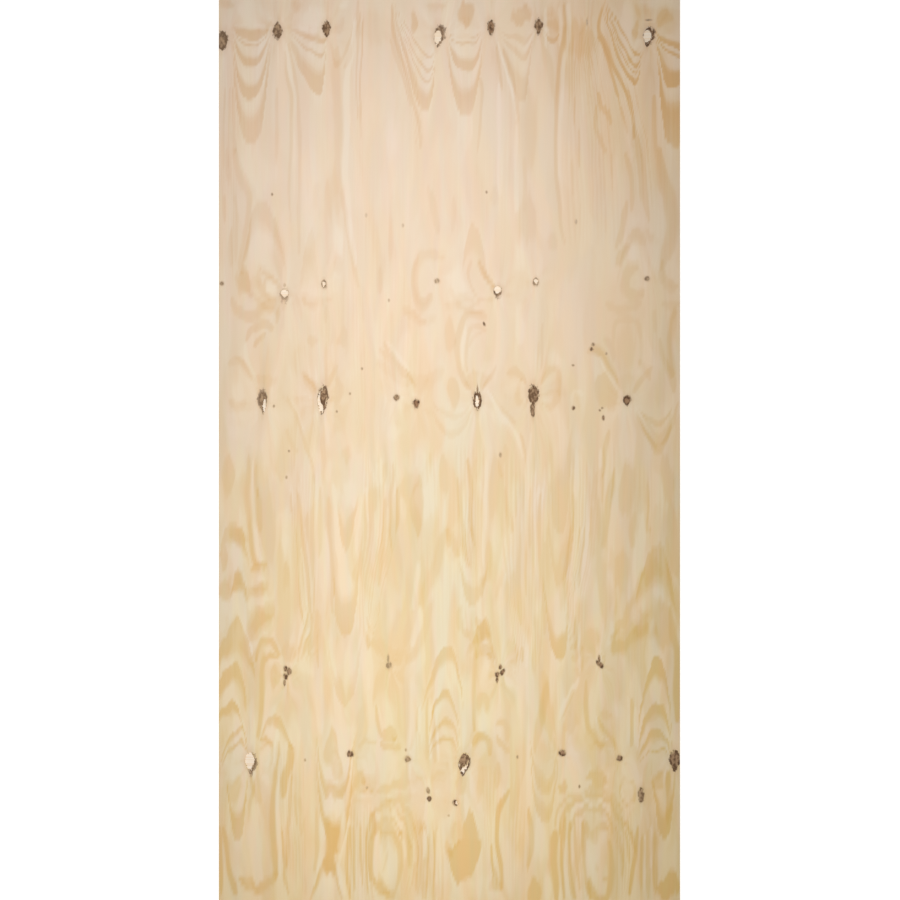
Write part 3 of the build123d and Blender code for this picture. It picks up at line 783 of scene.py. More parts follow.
    (4, 0.25, 370, 336, 420, 322, 480, 326, 540, 346, 600, 362),
    (4, 0.25, 356, 302, 420, 290, 480, 298, 540, 304, 600, 294),
    (5, -0.2, 362, 320, 430, 306, 500, 312, 560, 326),
    (4, 0.6, 395, 60, 392, 150, 396, 210, 415, 262, 446, 284, 482, 280, 508, 244, 522, 180, 524, 110),
    (4, 0.5, 432, 205, 424, 150, 430, 95, 444, 68),
    (5, 0.9, 1106, 215, 1100, 180, 1096, 140, 1090, 100, 1084, 50),
    (4.5, 0.8, 1118, 185, 1115, 120, 1112, 50), (4, 0.6, 1132, 200, 1131, 120, 1133, 45),
    (3, -0.6, 1124, 190, 1123, 60), (3, -0.6, 1140, 230, 1141, 100),
    (6, 0.8, 1150, 215, 1150, 130, 1153, 50), (7, 0.8, 1186, 365, 1190, 310, 1188, 250),
    (3, -0.5, 1066, 322, 1074, 300, 1092, 288),
]
# Fine rings side by side: the lines up the sheet on their left and right, how many there are,
# and how dark they are.
bundles = [
    (((5, 2250), (5, 1650)), ((52, 2250), (42, 1650)), 7, 0.45),
    (((340, 2380), (352, 2200), (350, 1900)), ((385, 2380), (380, 2200), (385, 1900)), 5, 0.4),
    (((925, 2300), (920, 2000), (925, 1750)), ((1000, 2330), (1065, 2060), (1085, 1750)), 15, 0.4),
    (((1045, 2230), (1085, 2050), (1100, 1850)), ((1098, 2230), (1130, 2050), (1158, 1850)), 5, 0.7),
    (((455, 2400), (470, 2260), (500, 2140), (520, 2020)), ((490, 2400), (515, 2260), (535, 2140), (545,
        2020)), 6, 0.45),
    (((730, 2300), (735, 2100), (730, 1900)), ((790, 2300), (800, 2100), (790, 1900)), 6, 0.3),
    (((185, 1600), (190, 1400), (250, 1150)), ((235, 1600), (240, 1430), (290, 1150)), 5, 0.25),
    (((355, 1640), (360, 1450), (370, 1240)), ((395, 1640), (400, 1450), (395, 1240)), 5, 0.35),
    (((840, 1600), (842, 1400)), ((875, 1600), (870, 1440)), 4, 0.35),
    (((1120, 1600), (1125, 1420)), ((1160, 1600), (1158, 1440)), 4, 0.35),
    (((185, 1170), (192, 1000), (206, 800), (228, 690), (214, 650)), ((255, 1170), (258, 1000), (264, 800),
        (264, 700), (250, 650)), 9, 0.55),
    (((377, 1220), (374, 1000), (364, 870), (366, 690)), ((470, 1220), (472, 1000), (440, 870), (402,
        690)), 11, 0.75),
    (((545, 1230), (552, 1050)), ((600, 1230), (590, 1050)), 5, 0.5),
    (((626, 1230), (630, 1000), (650, 890)), ((708, 1230), (702, 1000), (696, 890)), 8, 0.65),
    (((745, 1220), (750, 1000), (772, 780), (790, 640)), ((872, 1220), (868, 1000), (856, 780), (850,
        640)), 12, 0.65),
    (((925, 1200), (922, 1000), (915, 830), (935, 640)), ((1012, 1200), (1000, 1000), (972, 800), (968,
        640)), 10, 0.7),
    (((1010, 1260), (1012, 1000)), ((1050, 1260), (1040, 1000)), 3, 0.6),
    (((1105, 1200), (1110, 960)), ((1160, 1200), (1150, 960)), 5, 0.5),
    (((640, 800), (655, 680)), ((680, 800), (690, 700)), 3, 0.3),
    (((63, 530), (72, 480), (79, 430)), ((104, 530), (98, 480), (88, 430)), 4, 0.45),
    (((515, 560), (520, 400)), ((590, 560), (592, 400)), 7, 0.3),
    (((1085, 580), (1090, 420)), ((1112, 580), (1110, 420)), 3, 0.4),
    (((158, 430), (160, 230), (165, 30)), ((228, 430), (226, 230), (235, 30)), 8, 0.55),
    (((334, 290), (336, 150), (328, 30)), ((408, 290), (404, 150), (420, 30)), 8, 0.65),
    (((484, 240), (504, 150), (490, 30)), ((592, 260), (594, 150), (596, 30)), 10, 0.65),
    (((692, 400), (700, 200), (702, 40)), ((760, 400), (745, 200), (760, 40)), 6, 0.55),
    (((760, 380), (752, 200), (762, 40)), ((816, 380), (812, 200), (800, 40)), 6, 0.3),
    (((899, 270), (905, 150), (912, 30)), ((968, 250), (966, 150), (984, 30)), 6, 0.55),
    (((1034, 290), (1048, 200), (1046, 40)), ((1094, 250), (1092, 150), (1086, 40)), 6, 0.6),
    (((1096, 270), (1098, 40)), ((1154, 270), (1154, 40)), 5, 0.5),
]
# Holes that knots fell out of: place, width, length, lean in degrees and how pointed the tail is.
open_holes = [
    (579.1, 2309.7, 22, 47, -6, 0.9), (1134.1, 2312.1, 24, 40, -8, 0.9), (174.0, 1632.6, 21, 25, 0, 0.5),
    (277.9, 1658.5, 11, 17, 4, 0.5), (736.9, 1641.9, 19, 24, -8, 0.5), (838.9, 1665.3, 13, 16, 0, 0.5),
    (119.8, 1335.7, 10, 45, -3, 0.8), (683.4, 1346.9, 12, 40, 2, 0.8), (83.0, 393.8, 27, 54, 0, 0.9),
    (628.8, 286.5, 9, 14, 6, 0.3), (273.3, 1346.9, 26, 73, -4, 0.9), (647.3, 388.0, 27, 58, -8, 0.9),
]
# What is left of the knot round each hole, in the same order, and one splinter. Then the tight knots. Place,
# width, length, lean, tail, how ragged the rim is, how light the knot is, and the side of it, across and
# along, where most of the bark is. Round the holes that dark side is partly bark and partly painted shadow
# inside the hole.
hole_rims = [
    (580.5, 2313, 30, 58, -6, 0.8, 0.08, 0.45, 0.7, 0.2),
    (1136, 2313, 31, 54, -8, 0.8, 0.05, 0.25, 0.5, -0.1), (174, 1633, 25, 31, 0, 0.3, 0.08, 0.8, 0.0, -1.0),
    (278, 1660, 15, 23, 4, -0.5, 0.06, 0.62, 0.0, -0.5), (738, 1641, 24, 29, -8, 0.4, 0.1, 0.45, 0.2, -0.8),
    (839, 1666, 17, 22, 0, -0.5, 0.06, 0.62, 0.0, -0.4),
    (118, 1347, 24, 60, -3, 0.9, 0.14, 0.45, -0.8, 0.2), (684, 1347, 24, 54, 0, 0.7, 0.1, 0.3, 0.0, 0.5),
    (84, 391.5, 30, 59, 0, 0.9, 0.03, 0.5, 0.7, -0.6), (627.3, 286, 12, 17, 6, 0.3, 0.05, 0.1, -1.0, 0.0),
    (274, 1350, 30, 80, -4, 0.9, 0.05, 0.4, 0.3, 0.0), (648, 389, 31, 64, -8, 0.9, 0.05, 0.35, 0.2, -0.2),
    (684, 1382, 5, 24, 0, -0.7, 0.08, 0.45),
]
tight_knots = [
    (9, 2302, 31, 52, 0, 0.5, 0.12, 0.42), (156, 2332, 26, 44, 0, -0.6, 0.1, 0.4, 0.0, -0.4),
    (285, 2334, 23, 44, 0, 0.6, 0.1, 0.3), (720, 2338, 22, 42, 0, 0.5, 0.1, 0.15, 0.0, -0.2),
    (846, 2340, 23, 42, 0, 0.5, 0.1, 0.35), (832, 1364, 30, 54, 0, 0.6, 0.08, 0.35),
    (830, 1325, 13, 44, 3, 0.6, 0.1, 0.4), (1080, 1352, 22, 28, 0, 0.4, 0.08, 0.1),
    (522, 1342, 19, 26, 0, 0.4, 0.08, 0.0), (470, 1359, 15, 17, 0, 0.0, 0.05, 0.45),
    (177, 641, 11, 15, 0, 0.0, 0.06, 0.2), (186, 634, 13, 20, 0, 0.0, 0.06, 0.3),
    (177, 621, 12, 17, 0, 0.0, 0.06, 0.25), (174, 604, 7, 18, 0, 0.6, 0.06, 0.4),
    (450, 650, 15, 19, 0, 0.0, 0.04, 0.65), (448, 668, 6, 20, 0, 0.0, 0.04, 0.8),
    (745, 646, 9, 14, 0, 0.0, 0.06, 0.3), (750, 632, 11, 20, -28, 0.0, 0.06, 0.15),
    (737, 626, 12, 16, 0, 0.0, 0.06, 0.25), (736, 611, 7, 16, 0, 0.6, 0.06, 0.4),
    (1006, 668, 7, 20, 0, 0.0, 0.04, 0.35), (1003, 656, 9, 16, 20, 0.0, 0.06, 0.2),
    (1011, 651, 12, 18, 15, 0.0, 0.06, 0.15), (348, 416, 18, 17, 0, 0.0, 0.04, 0.3),
    (500, 403, 17, 17, 0, 0.0, 0.06, 0.5), (495, 427, 5, 7, 0, 0.0, 0.05, 0.7),
    (554, 319, 9, 17, 10, 0.0, 0.06, 0.6), (557, 298, 12, 16, 0, 0.2, 0.08, 0.35),
    (909, 419, 19, 18, 0, 0.0, 0.04, 0.15), (1060, 405, 17, 17, 0, 0.0, 0.06, 0.3),
    (1117, 309, 18, 42, 0, 0.3, 0.04, 0.45, 0.0, -0.5), (1206, 399, 29, 58, 0, 0.5, 0.05, 0.3),
]
# Pin knots: place, width, length, lean and how light they are.
pin_knots = [
    (577, 1667, 13, 13, 0, 0.75), (1133, 1673, 14, 13, 0, 0.55), (8, 1660, 10, 11, 0, 0.6),
    (990, 1499, 8, 9, 0, 0.5), (986, 1487, 9, 11, 0, 0.35), (1025, 1475, 5, 6, 0, 0.7),
    (938, 1331, 9, 10, 0, 0.4), (1017, 1305, 7, 12, 0, 0.15), (1008, 1325, 5, 6, 0, 0.3),
    (1014, 1331, 5, 5, 0, 0.3), (702, 1553, 6, 12, 20, 0.4), (1137, 2357, 16, 5, 0, 0.6),
    (608, 253, 5, 5, 0, 0.95), (141, 1896, 5, 7, 0, 0.6), (708, 1902, 5, 7, 0, 0.6),
    (379, 1435, 5, 7, 0, 0.7), (347, 1369, 5, 6, 0, 0.6), (312, 1322, 5, 6, 0, 0.5),
    (146, 1336, 5, 7, 0, 0.7), (186, 1217, 5, 6, 0, 0.7), (228, 400, 5, 7, 0, 0.7),
    (937, 1444, 7, 5, 0, 0.7), (954, 330, 5, 8, 0, 0.6), (790, 408, 5, 8, 0, 0.6),
    (745, 1207, 6, 12, 0, 0.7), (179, 1148, 5, 8, 0, 0.8), (392, 327, 5, 6, 0, 0.7),
    (974, 2352, 4, 16, 0, 0.8), (390, 1841, 5, 9, 0, 1.1), (487, 1814, 5, 9, 0, 1.1),
    (945, 1824, 6, 11, 0, 1.0), (450, 1616, 5, 7, 0, 1.1), (174, 1656, 6, 8, 0, 1.0),
]
# Knots that came loose and still stand in their holes, in pieces.
loose_knots = [
    (277.5, 1362, 20, 46, -4, 0.2), (646.2, 400.5, 27, 40, -4, 0.3), (282, 1330, 11, 32, 14, 0.6),
    (640, 380, 8, 20, -14, 0.5), (657, 402, 11, 32, -8, 0.3),
]


def fan(x, y, knot_x, knot_y, size, seed):
    """Streaks that run into a knot from above and below."""
    dx, dy = x - knot_x, (y - knot_y) * 0.62
    away = np.hypot(dx, dy)
    angle = np.degrees(np.arctan2(dx, np.abs(dy) + 1e-6)) + 200.0 * (dy < 0)
    streaks = unevenness(angle, away, 16, 70, seed) + 0.6 * unevenness(angle, away, 8, 45, seed + 50)
    near = ease(3.2 * size + 24, size, away) * ease(0.35 * size, 0.9 * size, away)
    return (0.2 + 0.006 * size) * streaks * near


def ring_tone(x, y, knots, hanging, standing, patches=(), stripes=(), bundles=()):
    """How dark the growth rings are: 1 in latewood, 0 on plain wood, below 0 in the palest wood."""
    wander = 4.5 * unevenness(x, y, 42, 170, 3) + 1.6 * unevenness(x, y, 13, 60, 4)
    slip = 14 * unevenness(x, y, 60, 120, 5) + 4 * unevenness(x, y, 18, 40, 6)
    slip += 9 * ease(1080, 960, y) * unevenness(x, y, 13, 36, 8)
    x, y = x + wander, y + slip
    tone = np.zeros_like(x)
    for flames, way in ((hanging, -1), (standing, 1)):
        for row in flames:
            tone += flame(x, y, *row, way)
    for row in patches:
        tone += patch(x, y, *row)
    for row in stripes:
        near, change = stripe(x, y, *row)
        tone[near] += change
    for number, row in enumerate(bundles):
        tone += bundle(x, y, *row, number + 300)
    for number, (knot_x, knot_y, width, length, *look) in enumerate(knots):
        if length > big_knot:
            tone += fan(x, y, knot_x, knot_y, 0.5 * width + 0.2 * length, number + 100)
    tone = np.where(tone < 0, 0.7 * tone, tone)
    tone *= 1 - 0.28 * ease(640, 800, y) * ease(2180, 2050, y)
    return np.clip(tone, -0.6, 1.15)


def quads_of(numbers):
    """Faces of a grid of point numbers."""
    quads = [numbers[:-1, :-1], numbers[:-1, 1:], numbers[1:, 1:], numbers[1:, :-1]]
    return np.stack(quads, axis=-1).reshape(-1, 4).tolist()


def grid_points(xs, ys, z):
    """Points at all crossings of some lines up the sheet and across it."""
    x, y = np.meshgrid(xs, ys)
    return np.column_stack([x.ravel(), y.ravel(), (z + 0 * x).ravel()])


def veneer_slab(name, z_face, z_glued, columns, steps):
    """A closed slab whose face is a fine grid, with the sheet's rubbed edge round the face."""
    face_up = z_face > z_glued
    inner_x = np.linspace(sheet_low.x + rubbed_edge, sheet_high.x - rubbed_edge, columns)
    ends = [start for start, step in steps[1:]] + [sheet_length / mm]
    rows = [np.linspace(a, b, round((b - a) / step), endpoint=False) for (a, step), b in zip(steps, ends)]
    rows = np.append(np.concatenate(rows), sheet_length / mm) * mm
    inner_y = sheet_low.y + rubbed_edge + rows * (1 - 2 * rubbed_edge / sheet_length)
    xs = np.concatenate([[sheet_low.x], inner_x, [sheet_high.x]])
    ys = np.concatenate([[sheet_low.y], inner_y, [sheet_high.y]])
    heights = np.full((len(ys), len(xs)), z_face - rubbed_edge if face_up else z_face + rubbed_edge)
    heights[1:-1, 1:-1] = z_face
    points = grid_points(xs, ys, heights)
    feet = grid_points(
        np.linspace(xs[0], xs[-1], glued_columns), np.linspace(ys[0], ys[-1], glued_rows), z_glued,
    )
    over = np.arange(len(points)).reshape(heights.shape)
    under = np.arange(len(feet)).reshape(glued_rows, glued_columns) + len(points)
    faces = quads_of(over) + quads_of(under.T)
    faces.append([*under[0], *over[0, ::-1]])
    faces.append([*under[:, -1], *over[::-1, -1]])
    faces.append([*under[-1, ::-1], *over[-1]])
    faces.append([*under[::-1, 0], *over[:, 0]])
    mesh = bpy.data.meshes.new(name)
    mesh.from_pydata(np.vstack([points, feet]).tolist(), [], faces)
    if not face_up:
        mesh.flip_normals()
    mesh.validate()
    return placed(name, mesh)


def drop_outline(width, length, lean, tail, ragged, seed, count):
    """Outline of a knot in mm about its middle: a round head and a tail, below it or, under 0, above."""
    angle = np.linspace(0, 2 * math.pi, count, endpoint=False)
    x, y = np.sin(angle), np.cos(angle)
    blunt = 1 - 0.2 * abs(tail) * (y > 0)
    x = np.sign(x) * np.abs(x) ** blunt
    x = x * (1 - abs(tail) * np.clip(-y, 0, 1) ** 1.1 * 0.75)
    numbers = np.random.default_rng(seed)
    waver = np.zeros(count)
    for turns in (3, 5, 8, 13):
        waver += numbers.uniform(0.3, 1.0) * np.sin(turns * angle + numbers.uniform(0, 6.3)) / turns ** 0.5
    swell = 1 + ragged * waver
    x, y = x * swell * width / 2, y * swell * length / 2 * (-1 if tail < 0 else 1)
    slope = math.radians(lean)
    return x * math.cos(slope) - y * math.sin(slope), x * math.sin(slope) + y * math.cos(slope)


def plug(mesh, x, y, outline, z_low, z_high, dome):
    """Adds a closed, slightly domed plug to the bmesh: flat below, rings of faces above."""
    across, along = outline
    if across[0] * along[1] - across[1] * along[0] < 0:
        across, along = across[::-1], along[::-1]
    levels = [(1.0, z_low)] + [(share, z_high + dome * (1 - share ** 2)) for share in plug_rings]
    loops = [
        [mesh.verts.new((x + a * share * mm, y + b * share * mm, z)) for a, b in zip(across, along)]
        for share, z in levels
    ]
    for low, high in zip(loops, loops[1:]):
        for quad in zip(low, low[1:] + low[:1], high[1:] + high[:1], high):
            mesh.faces.new(quad)
    mesh.faces.new(loops[-1])
    mesh.faces.new(loops[0][::-1])


def apart(one, other):
    """True if two knots can't touch each other."""
    return any(abs(one[k] - other[k]) > 0.6 * (one[k + 2] + other[k + 2]) for k in (0, 1))


def cut(piece, cutter, operation="DIFFERENCE"):
    """Cuts the cutter out of the piece for good, or joins the two, or keeps what lies in both."""
    modifier = piece.modifiers.new("cut", "BOOLEAN")
    modifier.operation = operation
    modifier.solver = "MANIFOLD"
    modifier.object = cutter
    mesh = plain_mesh(piece, piece.name)
    mesh.materials.clear()
    old = piece.data
    piece.modifiers.clear()
    piece.data = mesh
    bpy.data.meshes.remove(old)


def plugs(name, rows, z_low, z_high, dome=0.0, shrink=0.0):
    """One object with a plug for each knot of the rows. Knots that grew into each other are joined."""
    layers = []
    for number, row in enumerate(rows):
        free = [layer for layer in layers if all(apart(row, other) for _, other in layer)]
        if not free:
            layers.append([])
            free = layers[-1:]
        free[0].append((number, row))
    pieces = []
    for layer in layers:
        mesh = bmesh.new()
        for number, (x, y, width, length, lean, tail, ragged, *look) in layer:
            count = big_corners if length > big_knot else pin_corners
            outline = drop_outline(width - shrink, length - shrink, lean, tail, ragged, number + 11, count)
            plug(mesh, corner_x + x * mm, corner_y + y * mm, outline, z_low, z_high, dome)
        pieces.append(placed(name, bpy.data.meshes.new(name)))
        mesh.to_mesh(pieces[-1].data)
        mesh.free()
    for piece in pieces[1:]:
        cut(pieces[0], piece, "UNION")
        bpy.data.objects.remove(piece)
    return pieces[0]


def held(items, name, kind=float, width=1):
    """What a mesh's points, corners or faces hold under a name, one row each."""
    values = np.empty(len(items) * width, kind)
    items.foreach_get(name, values)
    return values.reshape(-1, width) if width > 1 else values


def keep(mesh, name, domain, *columns):
    """Keeps numbers with the mesh for its material: one for each point or corner, or three."""
    kind, field = ("FLOAT", "value") if len(columns) == 1 else ("FLOAT_VECTOR", "vector")
    values = np.column_stack(columns).astype(np.float32).ravel()
    mesh.attributes.new(name, kind, domain).data.foreach_set(field, values)


def mark_knots(mesh, rows):
    """Gives each corner its place in the nearest knot, 1 at its rim, and how that knot looks."""
    points = held(mesh.vertices, "co", float, 3)[held(mesh.loops, "vertex_index", int)]
    centres = held(mesh.polygons, "center", float, 3)
    table = np.array(rows, float)
    middle = np.array([corner_x, corner_y]) + table[:, :2] * mm
    half = table[:, 2:4] * mm / 2
    best = np.full(len(centres), far_off)
    nearest = np.zeros(len(centres), int)
    for k in range(len(table)):
        aside, along = ((centres[:, :2] - middle[k]) / (half[k] + np.array([3, 6]) * mm)).T
        gap = np.hypot(aside, along)
        closer = gap < best
        best[closer] = gap[closer]
        nearest[closer] = k
    mine = np.repeat(nearest, held(mesh.polygons, "loop_total", int))
    lean, tail, _, shade, side_x, side_y = table[mine, 4:].T
    slope = np.radians(lean)
    dx, dy = (points[:, :2] - middle[mine]).T
    half_x, half_y = half[mine].T
    u = (dx * np.cos(slope) + dy * np.sin(slope)) / half_x
    v = (dy * np.cos(slope) - dx * np.sin(slope)) / half_y
    upright = np.where(tail < 0, -1.0, 1.0)
    keep(mesh, "knot_place", "CORNER", u, v * upright, u * side_x + v * side_y)
    keep(mesh, "knot_look", "CORNER", np.abs(tail), 2.6 * mm / np.sqrt(half_x * half_y), shade)


def mark_grain(mesh, rows):
    """Gives each point its place along the fibres, which close up towards the knots."""
    points = held(mesh.vertices, "co", float, 3)
    x, y = (points[:, 0] - corner_x) / mm, (points[:, 1] - corner_y) / mm
    drawn_in = np.zeros_like(x)
    for knot_x, knot_y, width, length, *look in rows:
        if length > big_knot:
            across, along = (x - knot_x) / (14 + width), (y - knot_y) / (40 + length)
            drawn_in += (x - knot_x) * 1.1 * np.exp(-across ** 2 - along ** 2)
    keep(mesh, "grain", "POINT", points[:, 0] + drawn_in * mm, points[:, 1], 0 * x)
    return x, y


def knot_cover(tree, place):
    """How much bark and branch wood covers a point, their colour there, and how far out it lies."""
    u, v, bias = split(tree, stored(tree, "knot_place"))
    tail, softness, shade = split(tree, stored(tree, "knot_look"))
    low = sums(tree, "POWER", sums(tree, "MULTIPLY", v, -1.0, clamp=True), 1.1)
    narrow = sums(tree, "MULTIPLY_ADD", sums(tree, "MULTIPLY", low, tail), -0.72, 1.0)
    wide = sums(tree, "POWER", sums(tree, "DIVIDE", u, narrow), 2.0)
    reach = sums(tree, "SQRT", sums(tree, "ADD", wide, sums(tree, "POWER", v, 2.0)))
    mottle = stretched(tree, place, *bark_flakes)
    flakes = sums(tree, "MULTIPLY_ADD", sums(tree, "SUBTRACT", mottle, 0.5), 1.35, reach)
    edge = sums(tree, "ADD", flakes, sums(tree, "MULTIPLY", bias, -0.35))
    past_rim = sums(tree, "DIVIDE", sums(tree, "SUBTRACT", edge, 0.98), softness)
    faint = sums(tree, "SUBTRACT", 1.35, shade, clamp=True)
    cover = sums(tree, "MULTIPLY", span(tree, past_rim, 1.0, -1.2), faint)
    bark = mix(tree, shade, colour(78, 51, 36), colour(146, 115, 84))
    wood = mix(tree, shade, colour(156, 119, 88), colour(202, 173, 138))
    rim = span(tree, reach, 0.35, 0.95)
    dark = sums(tree, "MULTIPLY_ADD", rim, 0.35, span(tree, mottle, 0.62, 0.36), clamp=True)
    return cover, mix(tree, dark, wood, bark), reach


def veneer_material(name, far_pale, far_dark, near_pale, near_dark):
    """Pine with its growth rings, resin lines and the stain round its knots."""
    material, tree = new_material(name)

    def times(first, second):
        return sums(tree, "MULTIPLY", first, second)

    def tinted(share, wood, tint):
        return mix(tree, share, wood, mix(tree, 1.0, wood, tint, "MULTIPLY"))

    place = wood_place(tree)
    east, north, _ = split(tree, place)
    nearness = span(tree, north, *ends_of_shade)
    grain = stored(tree, "grain")
    rings = stored(tree, "latewood", "Fac")
    fibres = stretched(tree, grain, *fine_fibres)
    lines = stretched(tree, grain, *resin_lines)

    # The fibres, the resin lines and the faint islands between the rings.
    lined = span(tree, stretched(tree, grain, *lined_parts), 0.46, 0.64)
    off_lines = sums(tree, "MULTIPLY_ADD", lines, 0.38, -0.19)
    off_lines = times(off_lines, sums(tree, "MULTIPLY_ADD", lined, 0.85, 0.15))
    calm = sums(tree, "SUBTRACT", 1.0, times(sums(tree, "ABSOLUTE", rings), 1.3), clamp=True)
    calm = times(calm, span(tree, nearness, 0.0, 0.8, 0.5, 1.0))
    off_islands = times(span(tree, stretched(tree, grain, *pale_islands), 0.42, 0.60, -0.11, 0.13), calm)
    off_fibres = sums(tree, "MULTIPLY_ADD", fibres, 0.12, -0.06)
    loose = sums(tree, "ADD", off_lines, sums(tree, "ADD", off_islands, off_fibres))

    # Tones bunch up in steps, so that each ring has an edge.
    tone = sums(tree, "MULTIPLY_ADD", rings, 0.46, sums(tree, "ADD", loose, 0.39), clamp=True)
    wave = sums(tree, "SINE", times(tone, 2 * math.pi * tone_steps))
    tone = sums(tree, "MULTIPLY_ADD", wave, -0.55 / (2 * math.pi * tone_steps), tone, clamp=True)

    # Pink wood at the far end, yellow wood at the near end, tints over parts of the sheet and painted shade.
    warmth = span(tree, east, 0.05, 0.62, 0.0, 0.75)
    pale = tinted(warmth, mix(tree, nearness, far_pale, near_pale), colour(255, 252, 248))
    dark = tinted(warmth, mix(tree, nearness, far_dark, near_dark), colour(251, 254, 236))
    wood = mix(tree, tone, pale, dark)
    strength = span(tree, nearness, 0.0, 1.0, 0.6, 1.0)
    for pattern, low, first, second in (
        (golden_parts, 0.36, colour(250, 251, 255), colour(255, 253, 248)),
        (rosy_parts, 0.38, colour(252, 255, 252), colour(255, 252, 252)),
    ):
        share = span(tree, stretched(tree, grain, *pattern), low, 0.64)
        wood = tinted(strength, wood, mix(tree, share, first, second))
    # Painted shade: the far right corner of the face is darkened and yellowed, most in the dark rings.
    painted_corner_shade = times(span(tree, east, 0.16, 0.42), span(tree, north, 0.5, 0.95))
    painted_corner_shade = times(painted_corner_shade, span(tree, tone, 0.3, 0.75, 0.3, 1.0))
    wood = tinted(painted_corner_shade, wood, colour(251, 238, 214))
    middle = times(span(tree, east, -0.3, -0.1), span(tree, east, 0.3, 0.1))
    middle = times(middle, span(tree, north, -0.95, -0.8, 0.2, 1.0))
    middle = times(middle, span(tree, nearness, 0.3, 0.5))
    wood = tinted(middle, wood, colour(251, 254, 253))
    wood = tinted(span(tree, north, -0.78, -1.08), wood, colour(255, 252, 244))

    # The stain round each knot, and the bark of its rim.
    cover, bark, reach = knot_cover(tree, place)
    halo = sums(tree, "MULTIPLY_ADD", lines, 0.9, sums(tree, "ADD", reach, -0.45))
    wood = tinted(times(span(tree, halo, 2.0, 0.9), 0.22), wood, colour(222, 194, 168))
    wood = mix(tree, times(cover, 0.8), wood, bark)
    finish_wood(tree, wood, sums(tree, "MULTIPLY_ADD", tone, 0.5, fibres), *face_feel)
    return material


face_z = sheet_high.z
under_face = face_z - face_thickness
pins = [(*place_and_size, 0.0, pin_ragged, shade) for *place_and_size, shade in pin_knots]
all_knots = [row if len(row) == 10 else row + (0.0, 0.0) for row in tight_knots + pins + hole_rims]
hole_rows = [row + (hole_ragged,) for row in open_holes]
face_veneer = veneer_slab("face_veneer", face_z, under_face, column_count, row_steps)
knot_cutter, hole_cutter = [
    plugs(name, rows, under_face - overrun, face_z + overrun)
    for name, rows in (("knot_cutter", all_knots), ("hole_cutter", hole_rows))
]
cut(face_veneer, knot_cutter)
cut(face_veneer, hole_cutter)
mark_knots(face_veneer.data, all_knots)
places = mark_grain(face_veneer.data, all_knots)
tone = ring_tone(*places, all_knots, hanging_flames, standing_flames, patches, stripes, bundles)
keep(face_veneer.data, "latewood", "POINT", tone)
face_veneer.data.materials.append(veneer_material(
    "pine_face_veneer",
    colour(247, 230, 210), colour(226, 188, 147), colour(247, 230, 202), colour(228, 188, 118),
))
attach(face_veneer, "root")
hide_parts("plywood_sheet")


# Knots
# Ends of the branches that grew through the log, cut across with the veneer. They are hard
# and dark, with bark round most of them, and sit in it as tight plugs. Round a hole only a
# broken rim of the knot is left.
knot_sink = 0.06 * mm
loose_sink = 0.3 * mm
loose_dome = 0.1 * mm
# How much smaller a plug is than its hole in the veneer, in mm.
plug_play = 0.25
branch_grain = (220, 130, 220, 3.0, 0.6)
knot_feel = (0.3 * mm, 0.75, 0.1)


def knot_material():
    """Bark and mottled branch wood, with the pale wood of the veneer showing through in flakes."""
    material, tree = new_material("knot_wood")
    place = wood_place(tree)
    cover, bark, _ = knot_cover(tree, place)
    nearness = span(tree, split(tree, place)[1], *ends_of_shade)
    pine = mix(tree, nearness, colour(232, 208, 180), colour(234, 208, 158))
    base = mix(tree, sums(tree, "MULTIPLY_ADD", cover, 0.9, 0.08), pine, bark)
    finish_wood(tree, base, stretched(tree, place, *branch_grain), *knot_feel)
    return material


knots = plugs("knots", all_knots, under_face, face_z - knot_sink, shrink=plug_play)
cut(knots, hole_cutter)
knot_limits = veneer_slab("knot_limits", face_z - knot_sink, under_face - overrun, 2, [(0, 2440)])
cut(knots, knot_limits, "INTERSECT")
mark_knots(knots.data, all_knots)
knot_finish = knot_material()
knots.data.materials.append(knot_finish)
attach(knots, "root")

loose_rows = [row + (0.04, 0.35, 0.0, 0.0) for row in loose_knots]
loose = plugs("loose_knots", loose_rows, under_face, face_z - loose_sink, loose_dome)
mark_knots(loose.data, loose_rows)
loose.data.materials.append(knot_finish)
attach(loose, "root")
for tool in (knot_cutter, hole_cutter, knot_limits):
    bpy.data.objects.remove(tool)


# Bark crumbs
# Bits of bark and torn branch wood that stayed in the holes when their knots fell out. They
# stick to the walls of the holes, thickest where the rest of the knot's rim is thickest.
crumb_gap = 1.5
crumb_sizes = (0.7 * mm, 2.6 * mm)
crumb_shape = (0.55, 1.0, 0.35)
crumb_tilt = 0.4
# How far from the wall of the hole the crumbs lie at least, in mm over both sides, and how high
# in it, as shares of the veneer's thickness.
crumb_inset = 0.6
crumb_rise = (0.1, 0.4)

tree, size, out = tree_with("bark_crumbs", {
    "Points": "Geometry", "Smallest": "Float", "Largest": "Float", "Seed": "Int", "Material": "Material",
})
spots = join(tree, "GeometryNodeMeshToPoints", {"Mesh": size["Points"]})
lump = join(tree, "GeometryNodeMeshIcoSphere", {"Radius": 1.0, "Subdivisions": 1})
turn = join(
    tree, "FunctionNodeRandomValue",
    {0: (-crumb_tilt, -crumb_tilt, -math.pi), 1: (crumb_tilt, crumb_tilt, math.pi), "Seed": size["Seed"]},
    data_type="FLOAT_VECTOR",
)
next_seed = sums(tree, "ADD", size["Seed"], 1.0)
long_side = join(
    tree, "FunctionNodeRandomValue", {2: size["Smallest"], 3: size["Largest"], "Seed": next_seed},
    data_type="FLOAT",
).outputs[1]
shape = join(tree, "ShaderNodeVectorMath", {0: crumb_shape, "Scale": long_side}, operation="SCALE")
crumbs = join(
    tree, "GeometryNodeInstanceOnPoints",
    {"Points": spots, "Instance": lump, "Rotation": turn, "Scale": shape},
)
solid_crumbs = join(tree, "GeometryNodeRealizeInstances", {0: crumbs})
barked = join(tree, "GeometryNodeSetMaterial", {"Geometry": solid_crumbs, "Material": size["Material"]})
tree.links.new(barked.outputs[0], out[0])


